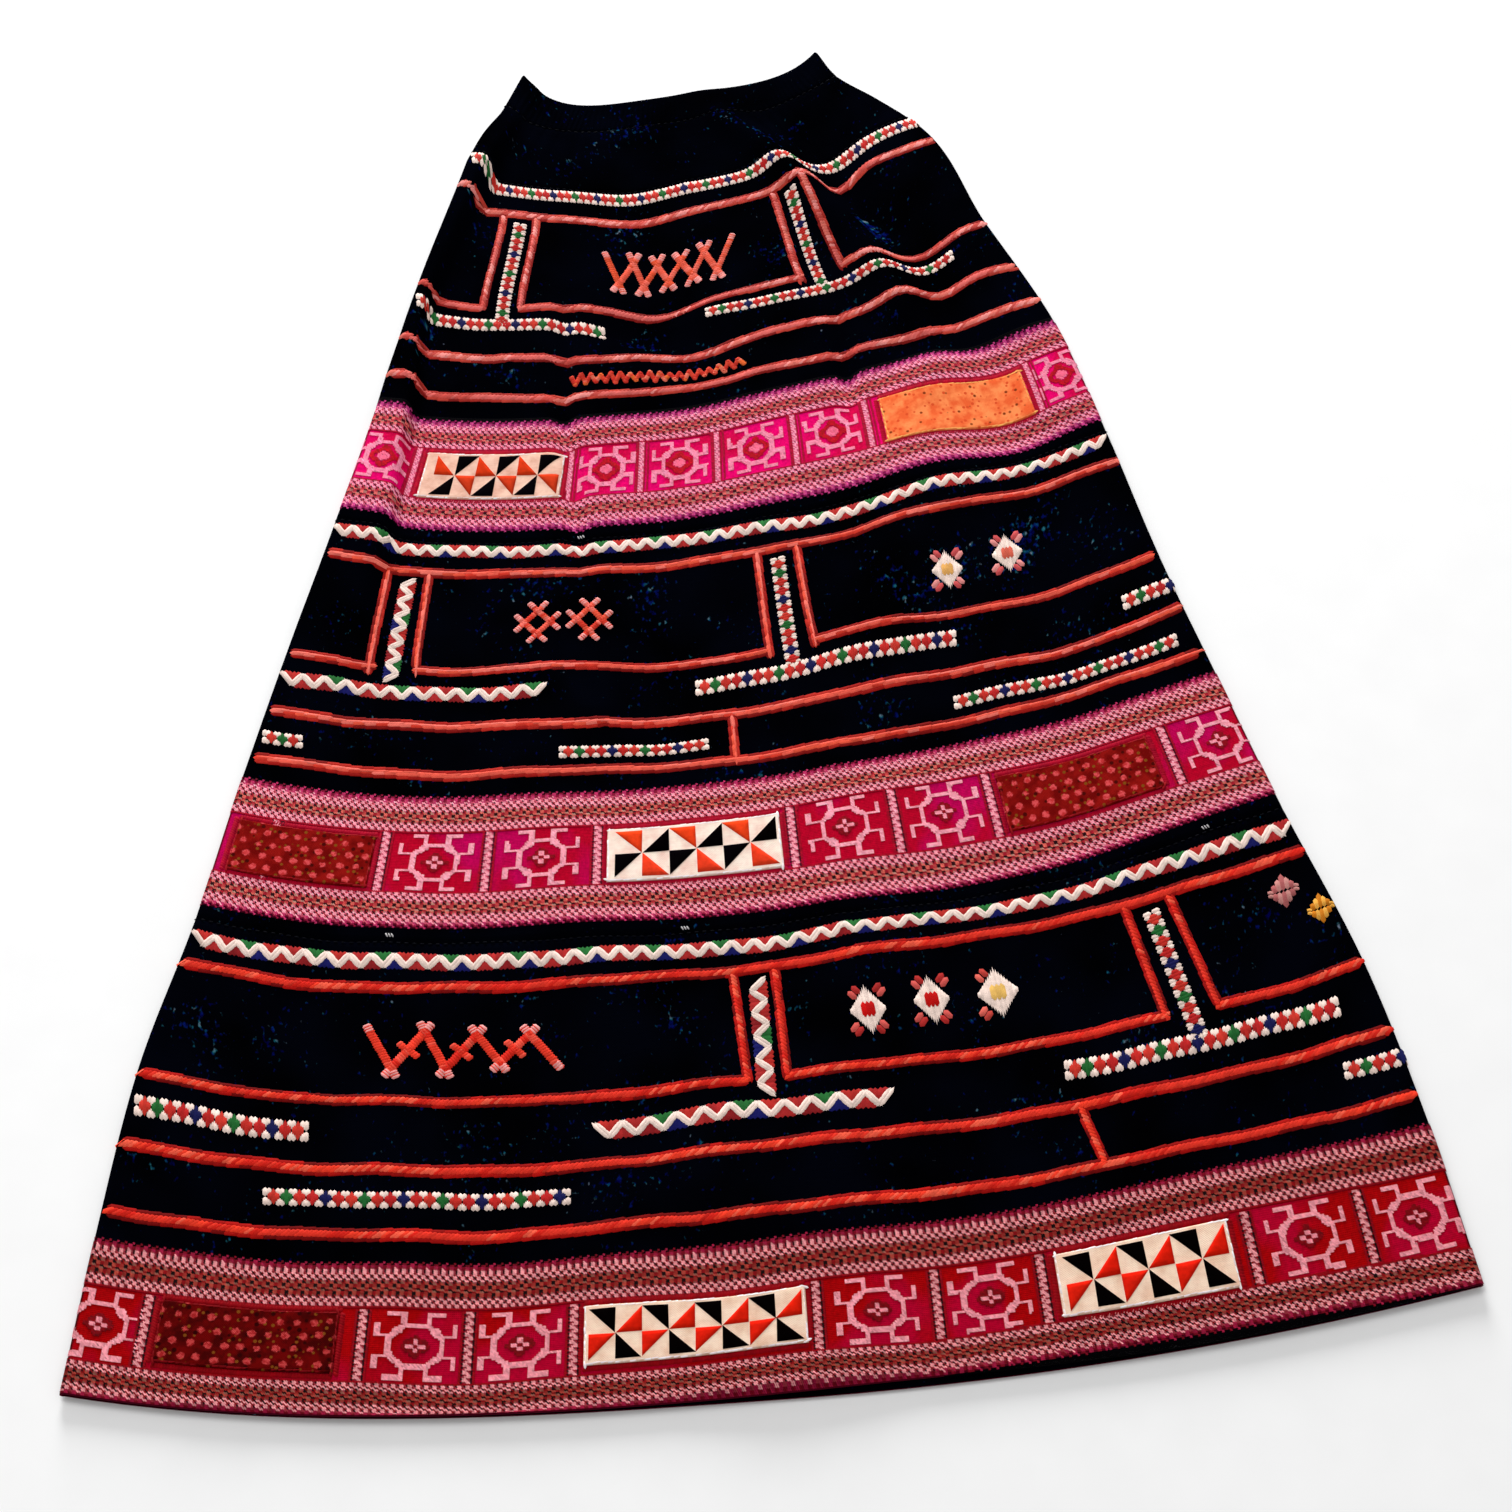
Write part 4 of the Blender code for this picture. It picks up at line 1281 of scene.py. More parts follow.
def triangle_grid():
    """A divided triangle with turned edges: its points as shares of two sides, its faces and its rim."""
    parts = TRIANGLE_PARTS
    cells = [(i, j) for i in range(parts + 1) for j in range(parts + 1 - i)]
    number = {cell: k for k, cell in enumerate(cells)}
    faces = []
    for i, j in cells:
        if i + j < parts:
            faces.append((number[i, j], number[i + 1, j], number[i, j + 1]))
        if i + j < parts - 1:
            faces.append((number[i + 1, j], number[i + 1, j + 1], number[i, j + 1]))
    rim = [number[i, 0] for i in range(parts)] + [number[parts - j, j] for j in range(parts)]
    rim += [number[0, parts - j] for j in range(parts)]
    for k, (here, after) in enumerate(zip(rim, rim[1:] + rim[:1])):
        below, beside = len(cells) + k, len(cells) + (k + 1) % len(rim)
        faces += [(after, here, below), (after, below, beside)]
    return np.array([(i / parts, j / parts) for i, j in cells]), np.array(faces), rim


def add_pinwheels(patch, thread):
    """The triangles of a pinwheel patch, each a small turned piece of cloth that stands proud of it."""
    wheel = PINWHEELS[patch.name]
    width = patch_width(patch)
    step_x = (width - 2 * TRIANGLE_MARGIN - wheel.blank) / wheel.squares
    step_y = (patch.height - 2 * TRIANGLE_MARGIN - TRIANGLE_ROW_GAP) / 2
    shares, faces, rim = triangle_grid()
    inner = np.minimum(np.minimum(shares[:, 0], shares[:, 1]), 1 - shares.sum(axis=1))
    rise = TRIANGLE_BASE + TRIANGLE_RISE * np.minimum(inner * 7, 1)
    points, triangles, colors, count = [], [], [], 0
    random = np.random.default_rng(SEED)
    for row in range(2):
        for square in range(wheel.squares):
            corners = np.array(CORNERS[(wheel.top, wheel.bottom)[row][square % 2]], float)
            middle = corners.mean(axis=0)
            corners = middle + (corners - middle) * TRIANGLE_SHARE
            corners += random.normal(0, TRIANGLE_UNEVEN, corners.shape)
            x = TRIANGLE_MARGIN + wheel.blank + (square + corners[:, 0]) * step_x
            y = TRIANGLE_MARGIN + (row + corners[:, 1]) * (step_y + TRIANGLE_ROW_GAP / 2)
            start, second, third = np.stack([x, y], axis=-1)
            spots = start + shares[:, :1] * (second - start) + shares[:, 1:] * (third - start)
            turned = np.cross(np.append(second - start, 0), np.append(third - start, 0))[2] < 0
            ground, normals = on_patch(patch, spots[:, 0], spots[:, 1])
            base = patch_rise(spots[:, 0], spots[:, 1], width, patch.height)
            top = ground + normals * (base + rise)[:, None]
            skirt = (ground + normals * (base - 0.15)[:, None])[rim]
            points += [top, skirt]
            triangles.append((faces if turned else faces[:, ::-1]) + count)
            added = len(top) + len(skirt)
            colors.append(np.tile(light(wheel.colors[2 * row + square % 2]), (added, 1)))
            count += added
    mesh = mesh_of(patch.name + "_triangles", np.concatenate(points), np.concatenate(triangles))
    paint(mesh, np.concatenate(colors))
    obj = add_object(mesh, thread)


def patch_edging(stitches, patch, color, fold):
    """The cord stitched round a patch, and the pale fold of its turned edge."""
    top, bottom = patch.middle - patch.height / 2, patch.middle + patch.height / 2
    left, right = patch.left, patch.right
    corners = [(left, top), (right, top), (right, bottom), (left, bottom), (left, top)]
    cord(stitches, corners, 3.0, 0.6, [color], spacing=1.5, outward=1.6)
    stem(stitches, corners, 1.3, 0.5, [fold], 0.9, length=5.0, spacing=3.6, base=0.95)


# Lines, strips and motifs
def path_places(path, spacing):
    """Even places along a path of across and down, in millimetres, with the direction at each."""
    path = np.asarray(path, float)
    flat = np.stack([path[:, 0] * half_width(path[:, 1]), path[:, 1]], axis=-1)
    lengths = np.concatenate([[0], np.cumsum(np.linalg.norm(np.diff(flat, axis=0), axis=1))])
    at = np.arange(spacing / 2, lengths[-1], spacing)
    places, ahead, behind = (np.stack([np.interp(at + shift, lengths, flat[:, k]) for k in (0, 1)], axis=-1)
                             for shift in (0.0, 0.5, -0.5))
    towards = ahead - behind
    towards /= np.maximum(np.linalg.norm(towards, axis=1, keepdims=True), 1e-9)
    return places, towards


def over_of(towards):
    """The direction across a line, towards the waist where the line runs to the right."""
    return np.stack([towards[:, 1], -towards[:, 0]], axis=-1)


def drifting(stitches, count, colors):
    """One of the colours for each stitch, changing slowly along the line."""
    shades = light(colors)
    drift = np.cumsum(stitches.random.normal(0, 0.3, count))
    return shades[(np.abs(np.sin(drift)) * len(shades)).astype(int) % len(shades)]


def cord(stitches, path, width, rise, colors, spacing=1.6, slant=0.55, outward=0.0):
    """A raised line of slanting stitches across a path."""
    places, towards = path_places(path, spacing)
    over = over_of(towards)
    wobble = stitches.random.normal(0, 0.1, (len(places), 1))
    middle = places + over * (outward + wobble)
    reach = over * (width / 2) + towards * (slant * width / 2)
    shades = drifting(stitches, len(places), colors)
    stitches.flat(LEAF, middle - reach, middle + reach, spacing * 1.45, rise, shades, base=0.0)


def stem(stitches, path, width, rise, colors, inward=0.0, length=8.5, spacing=5.0, base=0.05):
    """A line of long stitches along a path, each lapping the next."""
    places, towards = path_places(path, spacing)
    over = over_of(towards)
    wobble = stitches.random.normal(0, 0.12, (len(places), 1))
    middle = places + over * (wobble - inward)
    reach = towards * (length / 2) + over * (width * 0.12)
    shades = drifting(stitches, len(places), colors)
    stitches.flat(LEAF, middle - reach, middle + reach, width, rise, shades, base=base)


# How far the rows that are sewn by eye stray from a straight line
ROW_WANDER = 0.4

# How far lines and strips go on round an edge
LINE_PAST = 4.0
STRIP_PAST = 2.6


def row_path(down, left=-1.0, right=1.0, past=LINE_PAST, step=6.0):
    """A row at this distance down. A row that runs to an edge goes on round it."""
    width = float(half_width(down))
    left, right = left - past / width * (left <= -1), right + past / width * (right >= 1)
    across = np.linspace(left, right, max(2, round((right - left) * width / step)))
    along = across * width
    wander = ROW_WANDER * (np.sin(along / 9.0 + down) + np.sin(along / 23.0 + 2.3 * down))
    return np.stack([across, down + wander], axis=-1)


WHITE = (238, 214, 202)
TOP_NOTCHES = [(176, 40, 34), (166, 36, 36), (36, 104, 48)]
LOW_NOTCHES = [(20, 22, 92), (172, 40, 40), (140, 28, 32)]

# A zigzag's corners lie this far inside its strip, and its legs run as far past them. Each leg is of two
# stitches side by side, and the notches reach a little past the strip.
CORNER_INSET = 1.2
LEG_OFFSET = 0.85
NOTCH_PAST = 0.45

# The stitches of a notch: how far each is from its middle, and how tall it is, both as shares
NOTCH_STITCHES = ((-0.56, 0.36), (-0.20, 0.72), (0.20, 0.74), (0.56, 0.38))


def zigzag_strip(stitches, path, height, half):
    """White satin zigzags along a path, with a coloured triangle in each notch. half is half of a zigzag's
    length."""
    places, towards = path_places(path, half)
    over = over_of(towards)
    number = np.arange(len(places))
    side = np.where(number % 2 == 0, 1.0, -1.0)[:, None]
    corners = places + over * side * (height / 2 - CORNER_INSET)
    leg = corners[1:] - corners[:-1]
    past = leg / np.linalg.norm(leg, axis=1, keepdims=True) * CORNER_INSET
    for offset in (-LEG_OFFSET, LEG_OFFSET):
        start, end = corners[:-1] + towards[:-1] * offset, corners[1:] + towards[:-1] * offset
        stitches.flat(LEAF, start - past, end + past, 2.5, 0.8, light(WHITE), base=0.4)
    top, low = (light(notches)[number // 2 % 3] for notches in (TOP_NOTCHES, LOW_NOTCHES))
    shades = np.where(side < 0, top, low)
    for offset, share in NOTCH_STITCHES:
        edge = places + towards * offset * half - over * side * (height / 2 + NOTCH_PAST)
        tip = edge + over * side * (height * share + NOTCH_PAST)
        stitches.flat(LEAF, edge[1:-1], tip[1:-1], half * 0.52, 0.5, shades[1:-1], base=0.05)


SQUARE_COLORS = [(186, 36, 32), (194, 50, 38), (30, 96, 42), (186, 42, 34), (178, 32, 32), (18, 20, 74)]

# The stitches of the diamond between squares: how far each is from its middle, and how tall it is, as shares
DIAMOND_STITCHES = ((-0.27, 0.52), (0.0, 0.96), (0.27, 0.52))


def square_strip(stitches, path, height, module):
    """Pairs of white squares parted by a hairline, with a coloured diamond between each two pairs."""
    places, towards = path_places(path, module)
    over = over_of(towards)
    joint = places + towards * module / 2
    for side in (-1, 1):
        for k in (-1.0, 1.0):
            start, end = (joint + towards * k + over * side * reach for reach in (0.1, height / 2 + 0.3))
            stitches.flat(LEAF, start, end, 2.5, 0.7, light(WHITE), base=0.1)
    shades = light(SQUARE_COLORS)[np.arange(len(places)) % len(SQUARE_COLORS)]
    for k, share in DIAMOND_STITCHES:
        middle = (places + towards * k * module)[1:]
        reach = over[1:] * (height * share / 2)
        stitches.flat(LEAF, middle - reach, middle + reach, module * 0.36, 0.5, shades[1:], base=0.55)


# The paler stitches across the end of a thick line: how far from its end each is, if it runs on this far
TIP_STITCHES = (0.2, 1.8, 3.2)
TIP_OVERRUN = 2


def thick_line(stitches, a, b, width, colors, overrun, tip=None):
    """A corded line between two flat places that runs on past both by its overrun, with paler ends."""
    towards = (b - a) / np.linalg.norm(b - a)
    ends = np.array([a - towards * overrun, b + towards * overrun])
    cord(stitches, across_of(ends), width, 0.8, colors, slant=0.2)
    if not tip or overrun <= TIP_OVERRUN:
        return
    for end, way in zip(ends, (towards, -towards)):
        over = np.array([way[1], -way[0]]) * width * 0.48
        for k in TIP_STITCHES:
            stitches.flat(LEAF, end + way * k - over, end + way * k + over, 2.0, 0.8, light(tip), base=0.2)


def crossed_zigzag(stitches, points, colors, width, overrun, tip=None):
    """A zigzag of thick lines that run on past their corners."""
    flat = [flat_place(point) for point in points]
    for a, b in zip(flat, flat[1:]):
        thick_line(stitches, a, b, width, colors, overrun, tip)


def diamond_ring(stitches, place, size, colors, width, overrun, tip):
    """Four thick lines that cross at their ends round an open middle."""
    x, y = flat_place(place)
    corners = np.array([(x, y - size[1]), (x + size[0], y), (x, y + size[1]), (x - size[0], y)])
    for a, b in zip(corners, np.roll(corners, -1, axis=0)):
        thick_line(stitches, a, b, width, colors, overrun, tip)


# How far a filled diamond's uprights lean, as a share of their length
DIAMOND_LEAN = 0.10


def filled_diamond(stitches, place, size, center, dots, sides=(-1, 1)):
    """A pointed white diamond round a coloured middle, with a small piece off each of its edges."""
    x, y = flat_place(place)

    def upright(k, reach, width, rise, color, base):
        top = (x + k * size[0] - DIAMOND_LEAN * reach, y - reach)
        bottom = (x + k * size[0] + DIAMOND_LEAN * reach, y + reach)
        stitches.flat(LEAF, top, bottom, width, rise, light(color), base=base)

    for k in np.linspace(-0.94, 0.94, 17):
        upright(k, size[1] * (1.08 - abs(k)), size[0] * 0.21, 0.6, WHITE, 0.1)
    for k in (-0.24, 0.0, 0.24):
        upright(k, size[1] * 0.34, size[0] * 0.32, 0.5, center, 0.65)
    for side_x in sides:
        for side_y in (-1, 1):
            for k, shown in ((-0.5, dots[0]), (0.5, dots[1])):
                across, down = size[0] * (0.74 + 0.24 * k), size[1] * (0.78 - 0.20 * k)
                at = np.array([x + side_x * across, y + side_y * down])
                out = np.array([side_x * 2.0, side_y * 2.6])
                stitches.flat(LEAF, at - out, at + out, 3.2, 0.7, light(shown), base=0.05)


def small_diamond(stitches, place, size, colors):
    """A diamond of upright stitches in two colours, the lower half of each stitch painted darker as shade."""
    x, y = flat_place(place)
    for number, k in enumerate(np.linspace(-0.9, 0.9, 7)):
        reach = size * (1.15 - abs(k))
        shown = light(colors[number % 2])
        # Each stitch's lower half is painted a tenth darker, as shade
        for top, bottom, shade in ((y - reach, y, 1.0), (y, y + reach, 0.9)):
            ends = (x + k * size, top), (x + k * size, bottom)
            stitches.flat(LEAF, *ends, size * 0.40, 0.7, shown * shade, base=0.05)


# The threads of the red lines, whose paler tones are partly painted highlights, the darker threads of their
# # edges, which paint the shade on the line's rounded sides, and the pale ones at the ends of thick lines
SALMON = [(218, 108, 96), (232, 138, 132), (198, 74, 66), (214, 98, 92)]
SALMON_SHADED_EDGE = [(160, 38, 30), (184, 58, 46), (134, 24, 20)]
ORANGE_RED = [(228, 82, 58), (238, 112, 98), (208, 54, 38), (232, 90, 72)]
ORANGE_SHADED_EDGE = [(152, 20, 14), (178, 36, 26), (124, 12, 9)]
RED = [(230, 56, 34), (234, 88, 64), (208, 32, 20), (222, 50, 34)]
RED_SHADED_EDGE = [(146, 8, 5), (170, 14, 8), (114, 4, 4)]
TIP = (240, 158, 154)

# Each tier's lines and strips: where each row runs, and the uprights that part the boxes, of which the first
# four leave gaps in the box's bottom line. A strip is a zigzag with half of its zigzag's length, or squares
# with their module.
Tier = namedtuple("Tier", "zigzag zigzag_height zigzag_half red box lower_red line reds edges uprights")
TIERS = {
    "tier_1": Tier(82.0, 8.6, 4.75, 100.5, 175.0, (212.0, 240.0), 6.3, SALMON, SALMON_SHADED_EDGE, [
        ((-0.823, 103), (-0.789, 175)),
        ((-0.687, 103), (-0.658, 175)),
        ((0.297, 103), (0.329, 177)),
        ((0.415, 103), (0.479, 177)),
    ]),
    "tier_2": Tier(354.8, 8.9, 5.35, 371.0, 440.5, (478.0, 509.0), 6.7, ORANGE_RED, ORANGE_SHADED_EDGE, [
        ((-0.846, 373), (-0.820, 441)),
        ((-0.746, 373), (-0.715, 441)),
        ((0.068, 373), (0.086, 442)),
        ((0.167, 373), (0.189, 442)),
        ((-0.006, 480), (-0.004, 508)),
    ]),
    "tier_3": Tier(628.6, 10.0, 6.0, 644.4, 711.2, (749.6, 785.0), 6.9, RED, RED_SHADED_EDGE, [
        ((-0.037, 647), (-0.024, 712)),
        ((0.036, 647), (0.040, 712)),
        ((0.662, 647), (0.664, 712)),
        ((0.744, 647), (0.753, 712)),
        ((0.492, 751), (0.510, 784)),
    ]),
}

# The white strips of the boxes and below them. module is half a zigzag's length or a square's module.
Strip = namedtuple("Strip", "tier kind start end height module")
STRIPS = rows_of(Strip, [
    ("tier_1", "square", (-1.0, 187.8), (-0.368, 187.8), 8.4, 5.6),
    ("tier_1", "square", (-0.033, 187.8), (0.827, 187.8), 7.8, 5.5),
    ("tier_1", "square", (-0.751, 104), (-0.713, 184), 8.4, 5.2),
    ("tier_1", "square", (0.360, 104), (0.392, 184), 7.0, 5.5),
    ("tier_2", "zigzag", (-1.0, 456.6), (-0.397, 456.6), 9.6, 6.2),
    ("tier_2", "square", (-0.099, 456.6), (0.500, 456.6), 10.4, 6.1),
    ("tier_2", "square", (0.871, 462.0), (1.0, 462.0), 9.0, 6.1),
    ("tier_2", "square", (-1.0, 495.0), (-0.923, 495.0), 8.0, 6.1),
    ("tier_2", "zigzag", (-0.793, 374), (-0.763, 452), 9.2, 5.6),
    ("tier_2", "square", (0.117, 374), (0.137, 452), 8.6, 6.1),
    ("tier_2", "square", (-0.387, 496.5), (-0.069, 496.5), 7.6, 6.1),
    ("tier_2", "square", (0.451, 496.5), (0.957, 496.5), 8.4, 6.1),
    ("tier_3", "square", (-1.0, 729.3), (-0.725, 729.3), 11.2, 6.6),
    ("tier_3", "zigzag", (-0.279, 729.3), (0.218, 729.3), 10.6, 7.0),
    ("tier_3", "square", (0.468, 729.3), (0.937, 729.3), 11.2, 6.6),
    ("tier_3", "zigzag", (0.004, 648), (0.005, 724), 10.0, 7.0),
    ("tier_3", "square", (0.704, 648), (0.707, 724), 9.4, 6.6),
    ("tier_3", "square", (-0.785, 766.0), (-0.320, 766.0), 9.0, 6.6),
    ("tier_3", "square", (0.894, 764.0), (1.0, 764.0), 9.0, 6.6),
])


def box_spans(tier):
    """The stretches of a box's bottom line, which stops between its pairs of uprights."""
    marks = [-1.0, *(bottom for _, (bottom, _) in tier.uprights[:4]), 1.0]
    return list(zip(marks[::2], marks[1::2]))


def red_line(stitches, path, tier, share=1.0):
    """A padded line: a light middle between two darker rows, which paint the shade on its rounded sides. It
    has slanting stitches in tiers 1 and 3, and long ones in tier 2, on which a fine pale thread paints a
    highlight."""
    width = tier.line * share
    # The two darker edge rows paint the shade on the line's rounded sides
    for side in (-1, 1):
        stem(stitches, path, width * 0.42, 0.5, tier.edges, side * width * 0.31, length=10.0, spacing=6.5)
    if tier is not TIERS["tier_2"]:
        cord(stitches, path, width * 0.62, 0.95, tier.reds, spacing=2.3, slant=1.5)
        return
    stem(stitches, path, width * 0.62, 0.95, tier.reds, length=11.0, spacing=6.5)
    # A fine pale thread along the middle paints a highlight
    highlight_tones = tier.reds[1:2] * 3 + tier.reds[3:]
    stem(stitches, path, width * 0.24, 0.4, highlight_tones, -width * 0.07, length=11.0, spacing=8.0, base=0.72)


def add_lines(name, cloth, suffix, thread):
    """A tier's red lines. Those round its boxes are narrower."""
    tier = TIERS[name]
    lines = Stitches(f"red_lines_{name[-1]}{suffix}", cloth)
    for row in (tier.red, *tier.lower_red):
        red_line(lines, row_path(row), tier)
    for left, right in box_spans(tier):
        red_line(lines, row_path(tier.box, left, right), tier, 0.9)
    for path in tier.uprights:
        red_line(lines, path, tier, 0.78)
    return lines.finish(thread, "embroidered_cloth")


def add_strips(name, cloth, suffix, thread):
    """A tier's white strips: the one along its top, and those of its boxes."""
    tier = TIERS[name]
    strips = Stitches(f"white_strips_{name[-1]}{suffix}", cloth)
    draw = {"zigzag": zigzag_strip, "square": square_strip}
    top = row_path(tier.zigzag, past=STRIP_PAST)
    draw["square" if name == "tier_1" else "zigzag"](strips, top, tier.zigzag_height, tier.zigzag_half)
    for strip in STRIPS:
        if strip.tier == name:
            (left, down), (right, low) = strip.start, strip.end
            path = row_path(down, left, right, STRIP_PAST) if down == low else (strip.start, strip.end)
            draw[strip.kind](strips, path, strip.height, strip.module)
    return strips.finish(thread, "embroidered_cloth")


# The zigzag motifs: their two ends, how many corners they have, how tall and how uneven they are
Zigzag = namedtuple("Zigzag", "start end corners tall uneven")
ZIGZAG_1 = Zigzag((-0.37, 140), (0.09, 143), 11, 15.0, 1.4)
ZIGZAG_3 = Zigzag((-0.65, 682), (-0.34, 681), 8, 19.0, 1.8)
WAVES = Zigzag((-0.46, 227), (0.08, 228), 36, 6.0, 0.7)
BAR_LENGTH = 12.0


def zigzag_points(zigzag):
    """Corners by turns above and below a line between the ends, each a little off, as when sewn by eye."""
    number = np.arange(zigzag.corners)
    share = number / (zigzag.corners - 1)
    across, down = (a + (b - a) * share for a, b in zip(zigzag.start, zigzag.end))
    side = np.where(number % 2, 1.0, -1.0)
    return list(zip(across, down + side * zigzag.tall / 2 + zigzag.uneven * np.sin(2.3 * number)))


def bars_over(points):
    """Short bars that cross the middle of every second leg at a right angle, as pairs of flat places."""
    flat = [flat_place(point) for point in points]
    bars = []
    for a, b in zip(flat[1::2], flat[2::2]):
        leg = (b - a) / np.linalg.norm(b - a)
        half = np.array([leg[1], -leg[0]]) * BAR_LENGTH / 2
        bars.append(((a + b) / 2 - half, (a + b) / 2 + half))
    return bars


CORAL = [(232, 92, 70), (238, 108, 90), (224, 82, 50)]
EMBERS = [(214, 66, 46), (196, 46, 34), (230, 112, 88), (226, 100, 44)]
POPPY = [(230, 58, 38), (236, 80, 62), (212, 38, 24)]

# The filled diamonds: place, size, the middle's colour, the two colours of the pieces off the edges, and the
# sides that have such pieces
DIAMONDS_2 = [
    ((0.521, 412), (8.6, 12.0), (226, 168, 92), ((196, 76, 78), (224, 140, 136)), (-1, 1)),
    ((0.672, 408), (8.6, 12.0), (206, 92, 72), ((196, 76, 78), (224, 140, 136)), (-1, 1)),
]
DIAMONDS_3 = [
    ((0.185, 680), (9.0, 13.6), (196, 8, 6), ((170, 40, 38), (206, 84, 78)), (-1, 1)),
    ((0.294, 678), (9.0, 13.6), (190, 8, 6), ((170, 40, 38), (206, 84, 78)), (-1, 1)),
    ((0.407, 679), (10.4, 14.0), (226, 180, 96), ((186, 62, 54), (214, 96, 84)), (-1,)),
]


def add_motifs(thread):
    """The motifs of the boxes: zigzags, open diamonds and filled ones."""
    motifs = Stitches("box_motifs", FRONT)
    crossed_zigzag(motifs, zigzag_points(ZIGZAG_1), CORAL, 4.6, 8.2, TIP)
    crossed_zigzag(motifs, zigzag_points(WAVES), EMBERS, 3.2, 0.9)
    for place in ((-0.457, 408), (-0.335, 407)):
        diamond_ring(motifs, place, (7.4, 8.6), ORANGE_RED, 3.9, 7.4, TIP)
    for diamond in DIAMONDS_2:
        filled_diamond(motifs, *diamond)
    crossed_zigzag(motifs, zigzag_points(ZIGZAG_3), POPPY, 5.2, 5.5, TIP)
    for start, end in bars_over(zigzag_points(ZIGZAG_3)):
        thick_line(motifs, start, end, 4.4, POPPY, 0.5)
    for diamond in DIAMONDS_3:
        filled_diamond(motifs, *diamond)
    small_diamond(motifs, (0.935, 662), 8.0, [(196, 132, 126), (178, 96, 96)])
    small_diamond(motifs, (0.980, 677), 7.0, [(232, 168, 70), (206, 122, 24)])
    return motifs.finish(thread, "embroidered_cloth")


# Where a few white stitches show on the seams
WHITE_SEAM_STITCHES = ((-0.385, 343.5), (-0.656, 612.5), (-0.119, 613.5), (0.858, 613.6))


def add_seam_stitches(thread):
    """The running stitches of the seams, dark, with a few white ones where they show."""
    seams = Stitches("seam_stitches", FRONT)
    for ring in RINGS[1:]:
        places, towards = path_places(row_path(ring.top), 4.2)
        reach = towards * 1.3
        seams.flat(LEAF, places - reach, places + reach, 0.7, 0.5, light((5, 6, 14)), base=0.2)
    for place in WHITE_SEAM_STITCHES:
        x, y = flat_place(place)
        for k in (x - 1.5, x, x + 1.5):
            start, end = (k - 0.6, y - 1.2), (k + 0.6, y + 1.2)
            seams.flat(LEAF, start, end, 0.8, 0.5, light((190, 186, 188)), base=0.1)
    return seams.finish(thread, "indigo_cloth")


# The floor, in metres: half of its side, and how far it lies below the skirt
FLOOR_HALF = 6.0
FLOOR_DROP = 0.0003


def add_stage():
    """The pale floor under the skirt."""
    mesh = bpy.data.meshes.new("floor")
    corners = [(x * FLOOR_HALF, y * FLOOR_HALF, 0) for x, y in ((-1, -1), (1, -1), (1, 1), (-1, 1))]
    mesh.from_pydata(corners, [], [(0, 1, 2, 3)])
    floor = bpy.data.objects.new("floor", mesh)
    bpy.context.scene.collection.objects.link(floor)
    made = Material("pale_paper", roughness=0.95, specular=0.0)
    grain = made.noise(made.node("TexCoord", {})["Object"], 30.0, 2.0)
    mesh.materials.append(made.finish(made.ramp(grain, [(0.3, (0.93,) * 3), (0.7, (0.95,) * 3)])))
    floor.location.z = -FLOOR_DROP


def aim(obj, target):
    direction = Vector(target) - Vector(obj.location)
    obj.rotation_euler = direction.to_track_quat("-Z", "Y").to_euler()


def add_light(name, location, size, power):
    """A round lamp that is aimed at the middle."""
    lamp = bpy.data.lights.new(name, "AREA")
    lamp.shape = "DISK"
    lamp.size = size
    lamp.energy = power
    obj = bpy.data.objects.new(name, lamp)
    obj.location = location
    aim(obj, (0, 0, 0))
    bpy.context.scene.collection.objects.link(obj)


def add_camera():
    """The photograph's camera, 57 degrees above the floor."""
    data = bpy.data.cameras.new("camera")
    data.lens = 70.8
    data.sensor_width = 36.0
    camera = bpy.data.objects.new("camera", data)
    camera.location = (-0.04997, -0.98023, 1.38381)
    aim(camera, (0.0127, -0.0838, 0.0))
    bpy.context.scene.collection.objects.link(camera)
    bpy.context.scene.camera = camera


def add_world():
    world = bpy.data.worlds.new("studio")
    world.use_nodes = True
    background = world.node_tree.nodes["Background"]
    background.inputs["Color"].default_value = (1.0, 1.0, 1.0, 1)
    background.inputs["Strength"].default_value = 0.48
    bpy.context.scene.world = world


def clear_scene():
    for obj in list(bpy.context.scene.objects):
        if obj.name in ("Cube", "Light", "Camera"):
            bpy.data.objects.remove(obj)


def add_rings():
    """The five rings of cloth, by name."""
    indigo = indigo_material()
    cloths = {}
    for ring in RINGS:
        materials = [indigo]
        if ring.band_top is not None:
            materials.append(band_material("band_ground_" + ring.name[-1], ring, BANDS[ring.name]))
        cloths[ring.name] = add_ring(ring, materials)
    return cloths


def add_embroidery(thread):
    """The bands, lines and strips of the three tiers, finer on the front than on the back, and the motifs."""
    for ring in RINGS[2:]:
        number = ring.name[-1]
        add_band(ring, FRONT, "band_stitches_" + number, 1.0, thread)
        add_band(ring, BACK, "band_stitches_back_" + number, 2.0, thread)
        for cloth, suffix in ((FRONT, ""), (BACK, "_back")):
            add_lines(ring.name, cloth, suffix, thread)
            add_strips(ring.name, cloth, suffix, thread)
    add_motifs(thread)
    add_seam_stitches(thread)


# The colours of a patch's cord, and of the fold of a dotted patch, by tier
CREAM_FOLD = (255, 238, 240)
CORDS = {"tier_1": (176, 2, 40), "tier_2": (164, 0, 36), "tier_3": (140, 0, 12)}
FOLDS_BY_TIER = {"tier_1": (255, 176, 96), "tier_2": (150, 14, 24), "tier_3": (120, 2, 10)}


def cream_materials():
    """The cotton of each pinwheel patch."""
    creams = {
        "patch_pinwheel_1": cotton_material("peach_cotton", (248, 204, 182), (222, 162, 140)),
        "patch_pinwheel_2": cotton_material("cream_cotton", (255, 236, 220), (242, 200, 184)),
        "patch_pinwheel_3": cotton_material("warm_cotton", (250, 220, 196), (232, 188, 160)),
    }
    creams["patch_pinwheel_3_right"] = creams["patch_pinwheel_3"]
    return creams


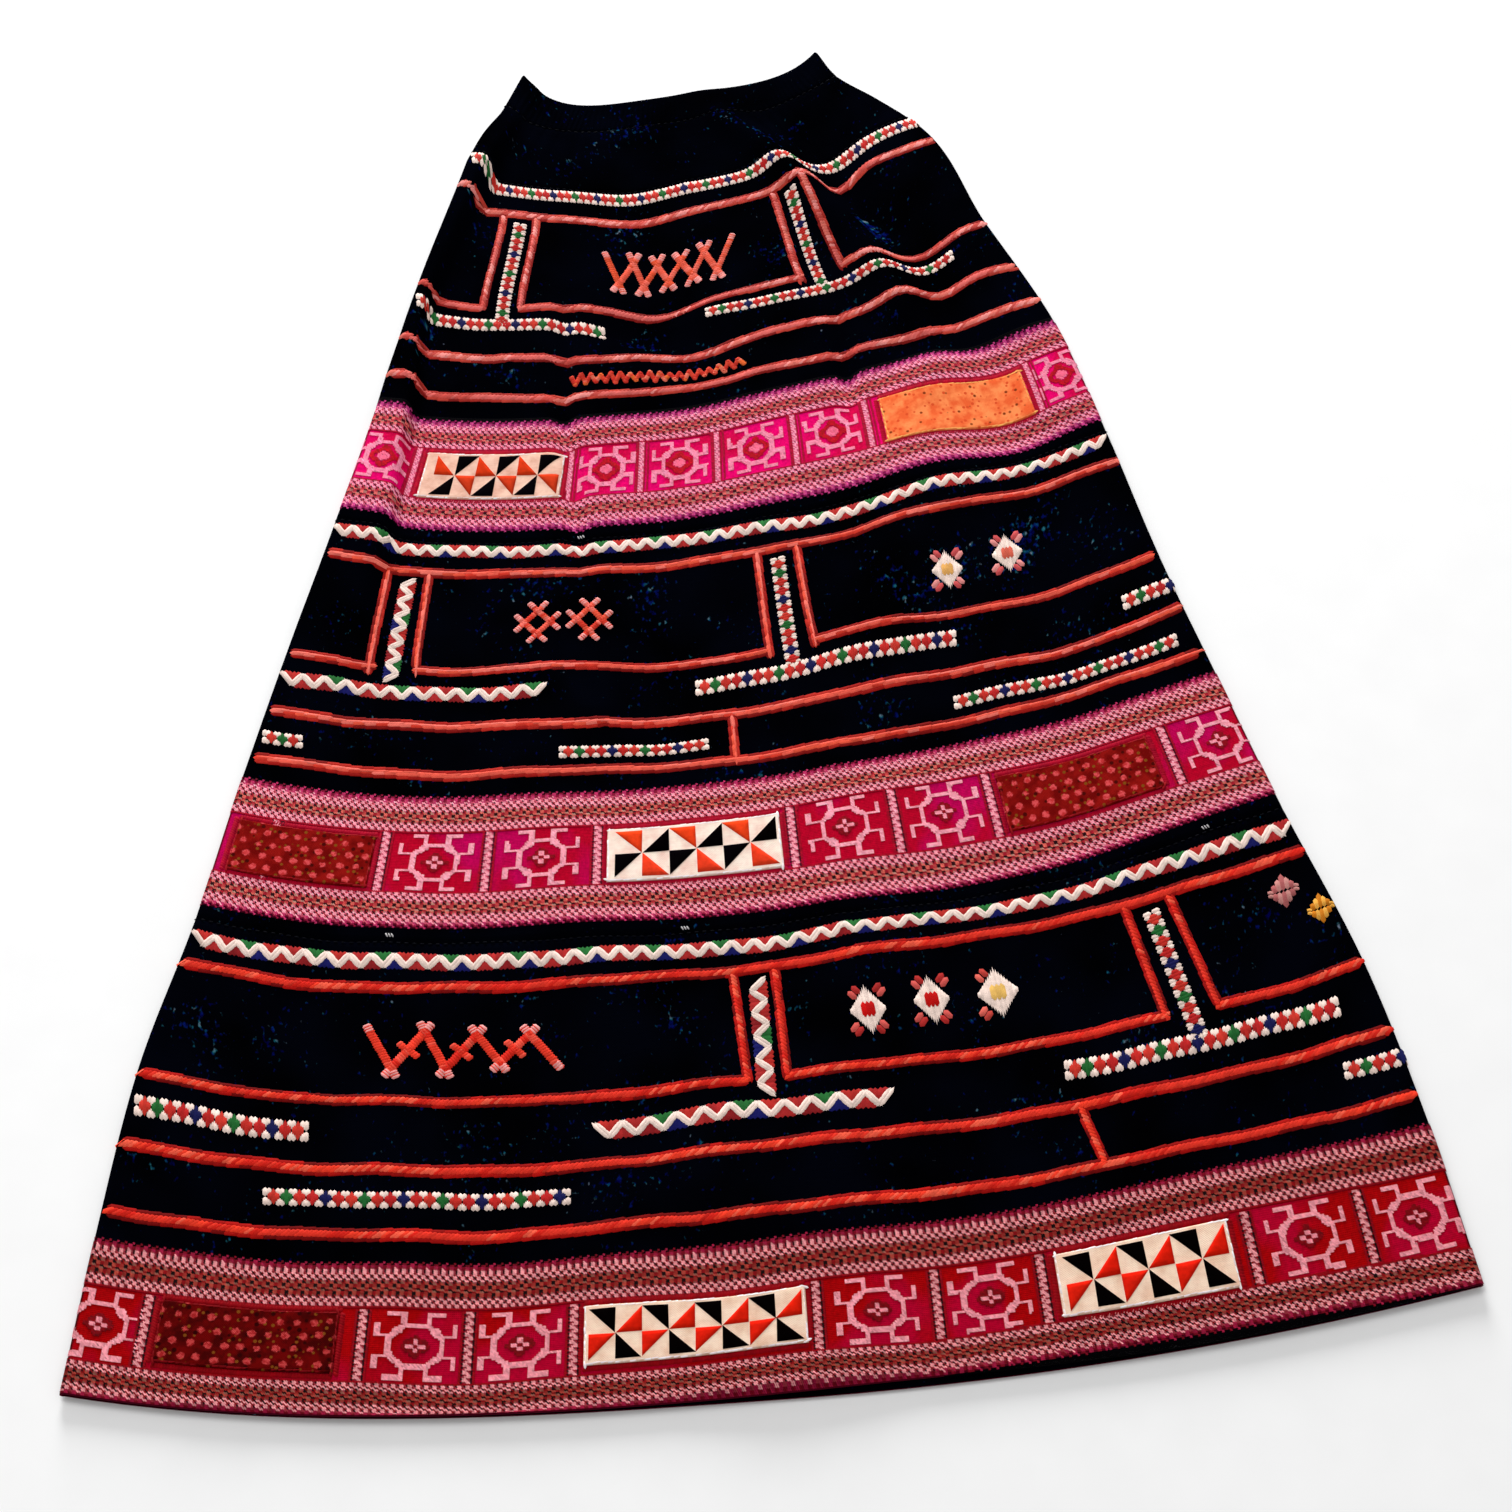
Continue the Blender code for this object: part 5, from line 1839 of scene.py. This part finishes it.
def print_materials():
    """The printed cotton of each dotted patch."""
    prints = {
        "patch_dotted_1": dotted_material(
            "orange_print", (252, 142, 82), (236, 98, 50), None,
            [((222, 78, 38), 3.4, 0.27), ((128, 54, 22), 5.0, 0.18)]),
        "patch_dotted_2_left": dotted_material(
            "brown_print", (140, 15, 11), (106, 3, 2), ((214, 76, 80), (186, 46, 48)),
            [((124, 68, 16), 3.3, 0.28), ((70, 4, 2), 4.2, 0.27)]),
        "patch_dotted_3": dotted_material(
            "crimson_print", (100, 2, 2), (62, 0, 0), ((186, 60, 60), (152, 30, 32)),
            [((116, 62, 14), 3.4, 0.27), ((44, 0, 0), 4.2, 0.28)]),
    }
    prints["patch_dotted_2_right"] = prints["patch_dotted_2_left"]
    return prints


def add_patches(thread, triangle_cotton):
    """The patches with their triangles, and the stitches round them all as one piece."""
    creams, prints = cream_materials(), print_materials()
    edging = Stitches("patch_edging", FRONT)
    for patch in PATCHES:
        if patch.name in creams:
            add_patch(patch, creams[patch.name])
            add_pinwheels(patch, triangle_cotton)
            fold = CREAM_FOLD
        else:
            add_patch(patch, prints[patch.name])
            fold = FOLDS_BY_TIER[patch.ring]
        patch_edging(edging, patch, CORDS[patch.ring], fold)
    edging.finish(thread, "embroidered_cloth")


def cut_of(ring):
    """A ring's cloth all round, front and back: its greatest width, its length and its area."""
    rows = np.linspace(ring.top, ring.bottom, 30)
    widths = 2 * 2 * half_width(rows)
    length = ring.bottom - ring.top
    return widths.max() * MM, length * MM, float(np.mean(widths)) * length * MM * MM


def declare_sheets():
    for ring in RINGS:
        width, length, area = cut_of(ring)


def main():
    clear_scene()
    add_camera()
    add_world()
    bpy.context.scene.view_settings.view_transform = "Standard"
    thread = thread_material("stitch_thread", 0.06)
    triangle_cotton = thread_material("triangle_cotton", 0.0)
    cloths = add_rings()
    add_embroidery(thread)
    add_patches(thread, triangle_cotton)
    add_stage()
    add_light("key", (-0.7, 1.0, 2.3), 1.4, 22)
    add_light("back", (-0.5, 5.8, 1.36), 2.4, 560)
    declare_sheets()


main()
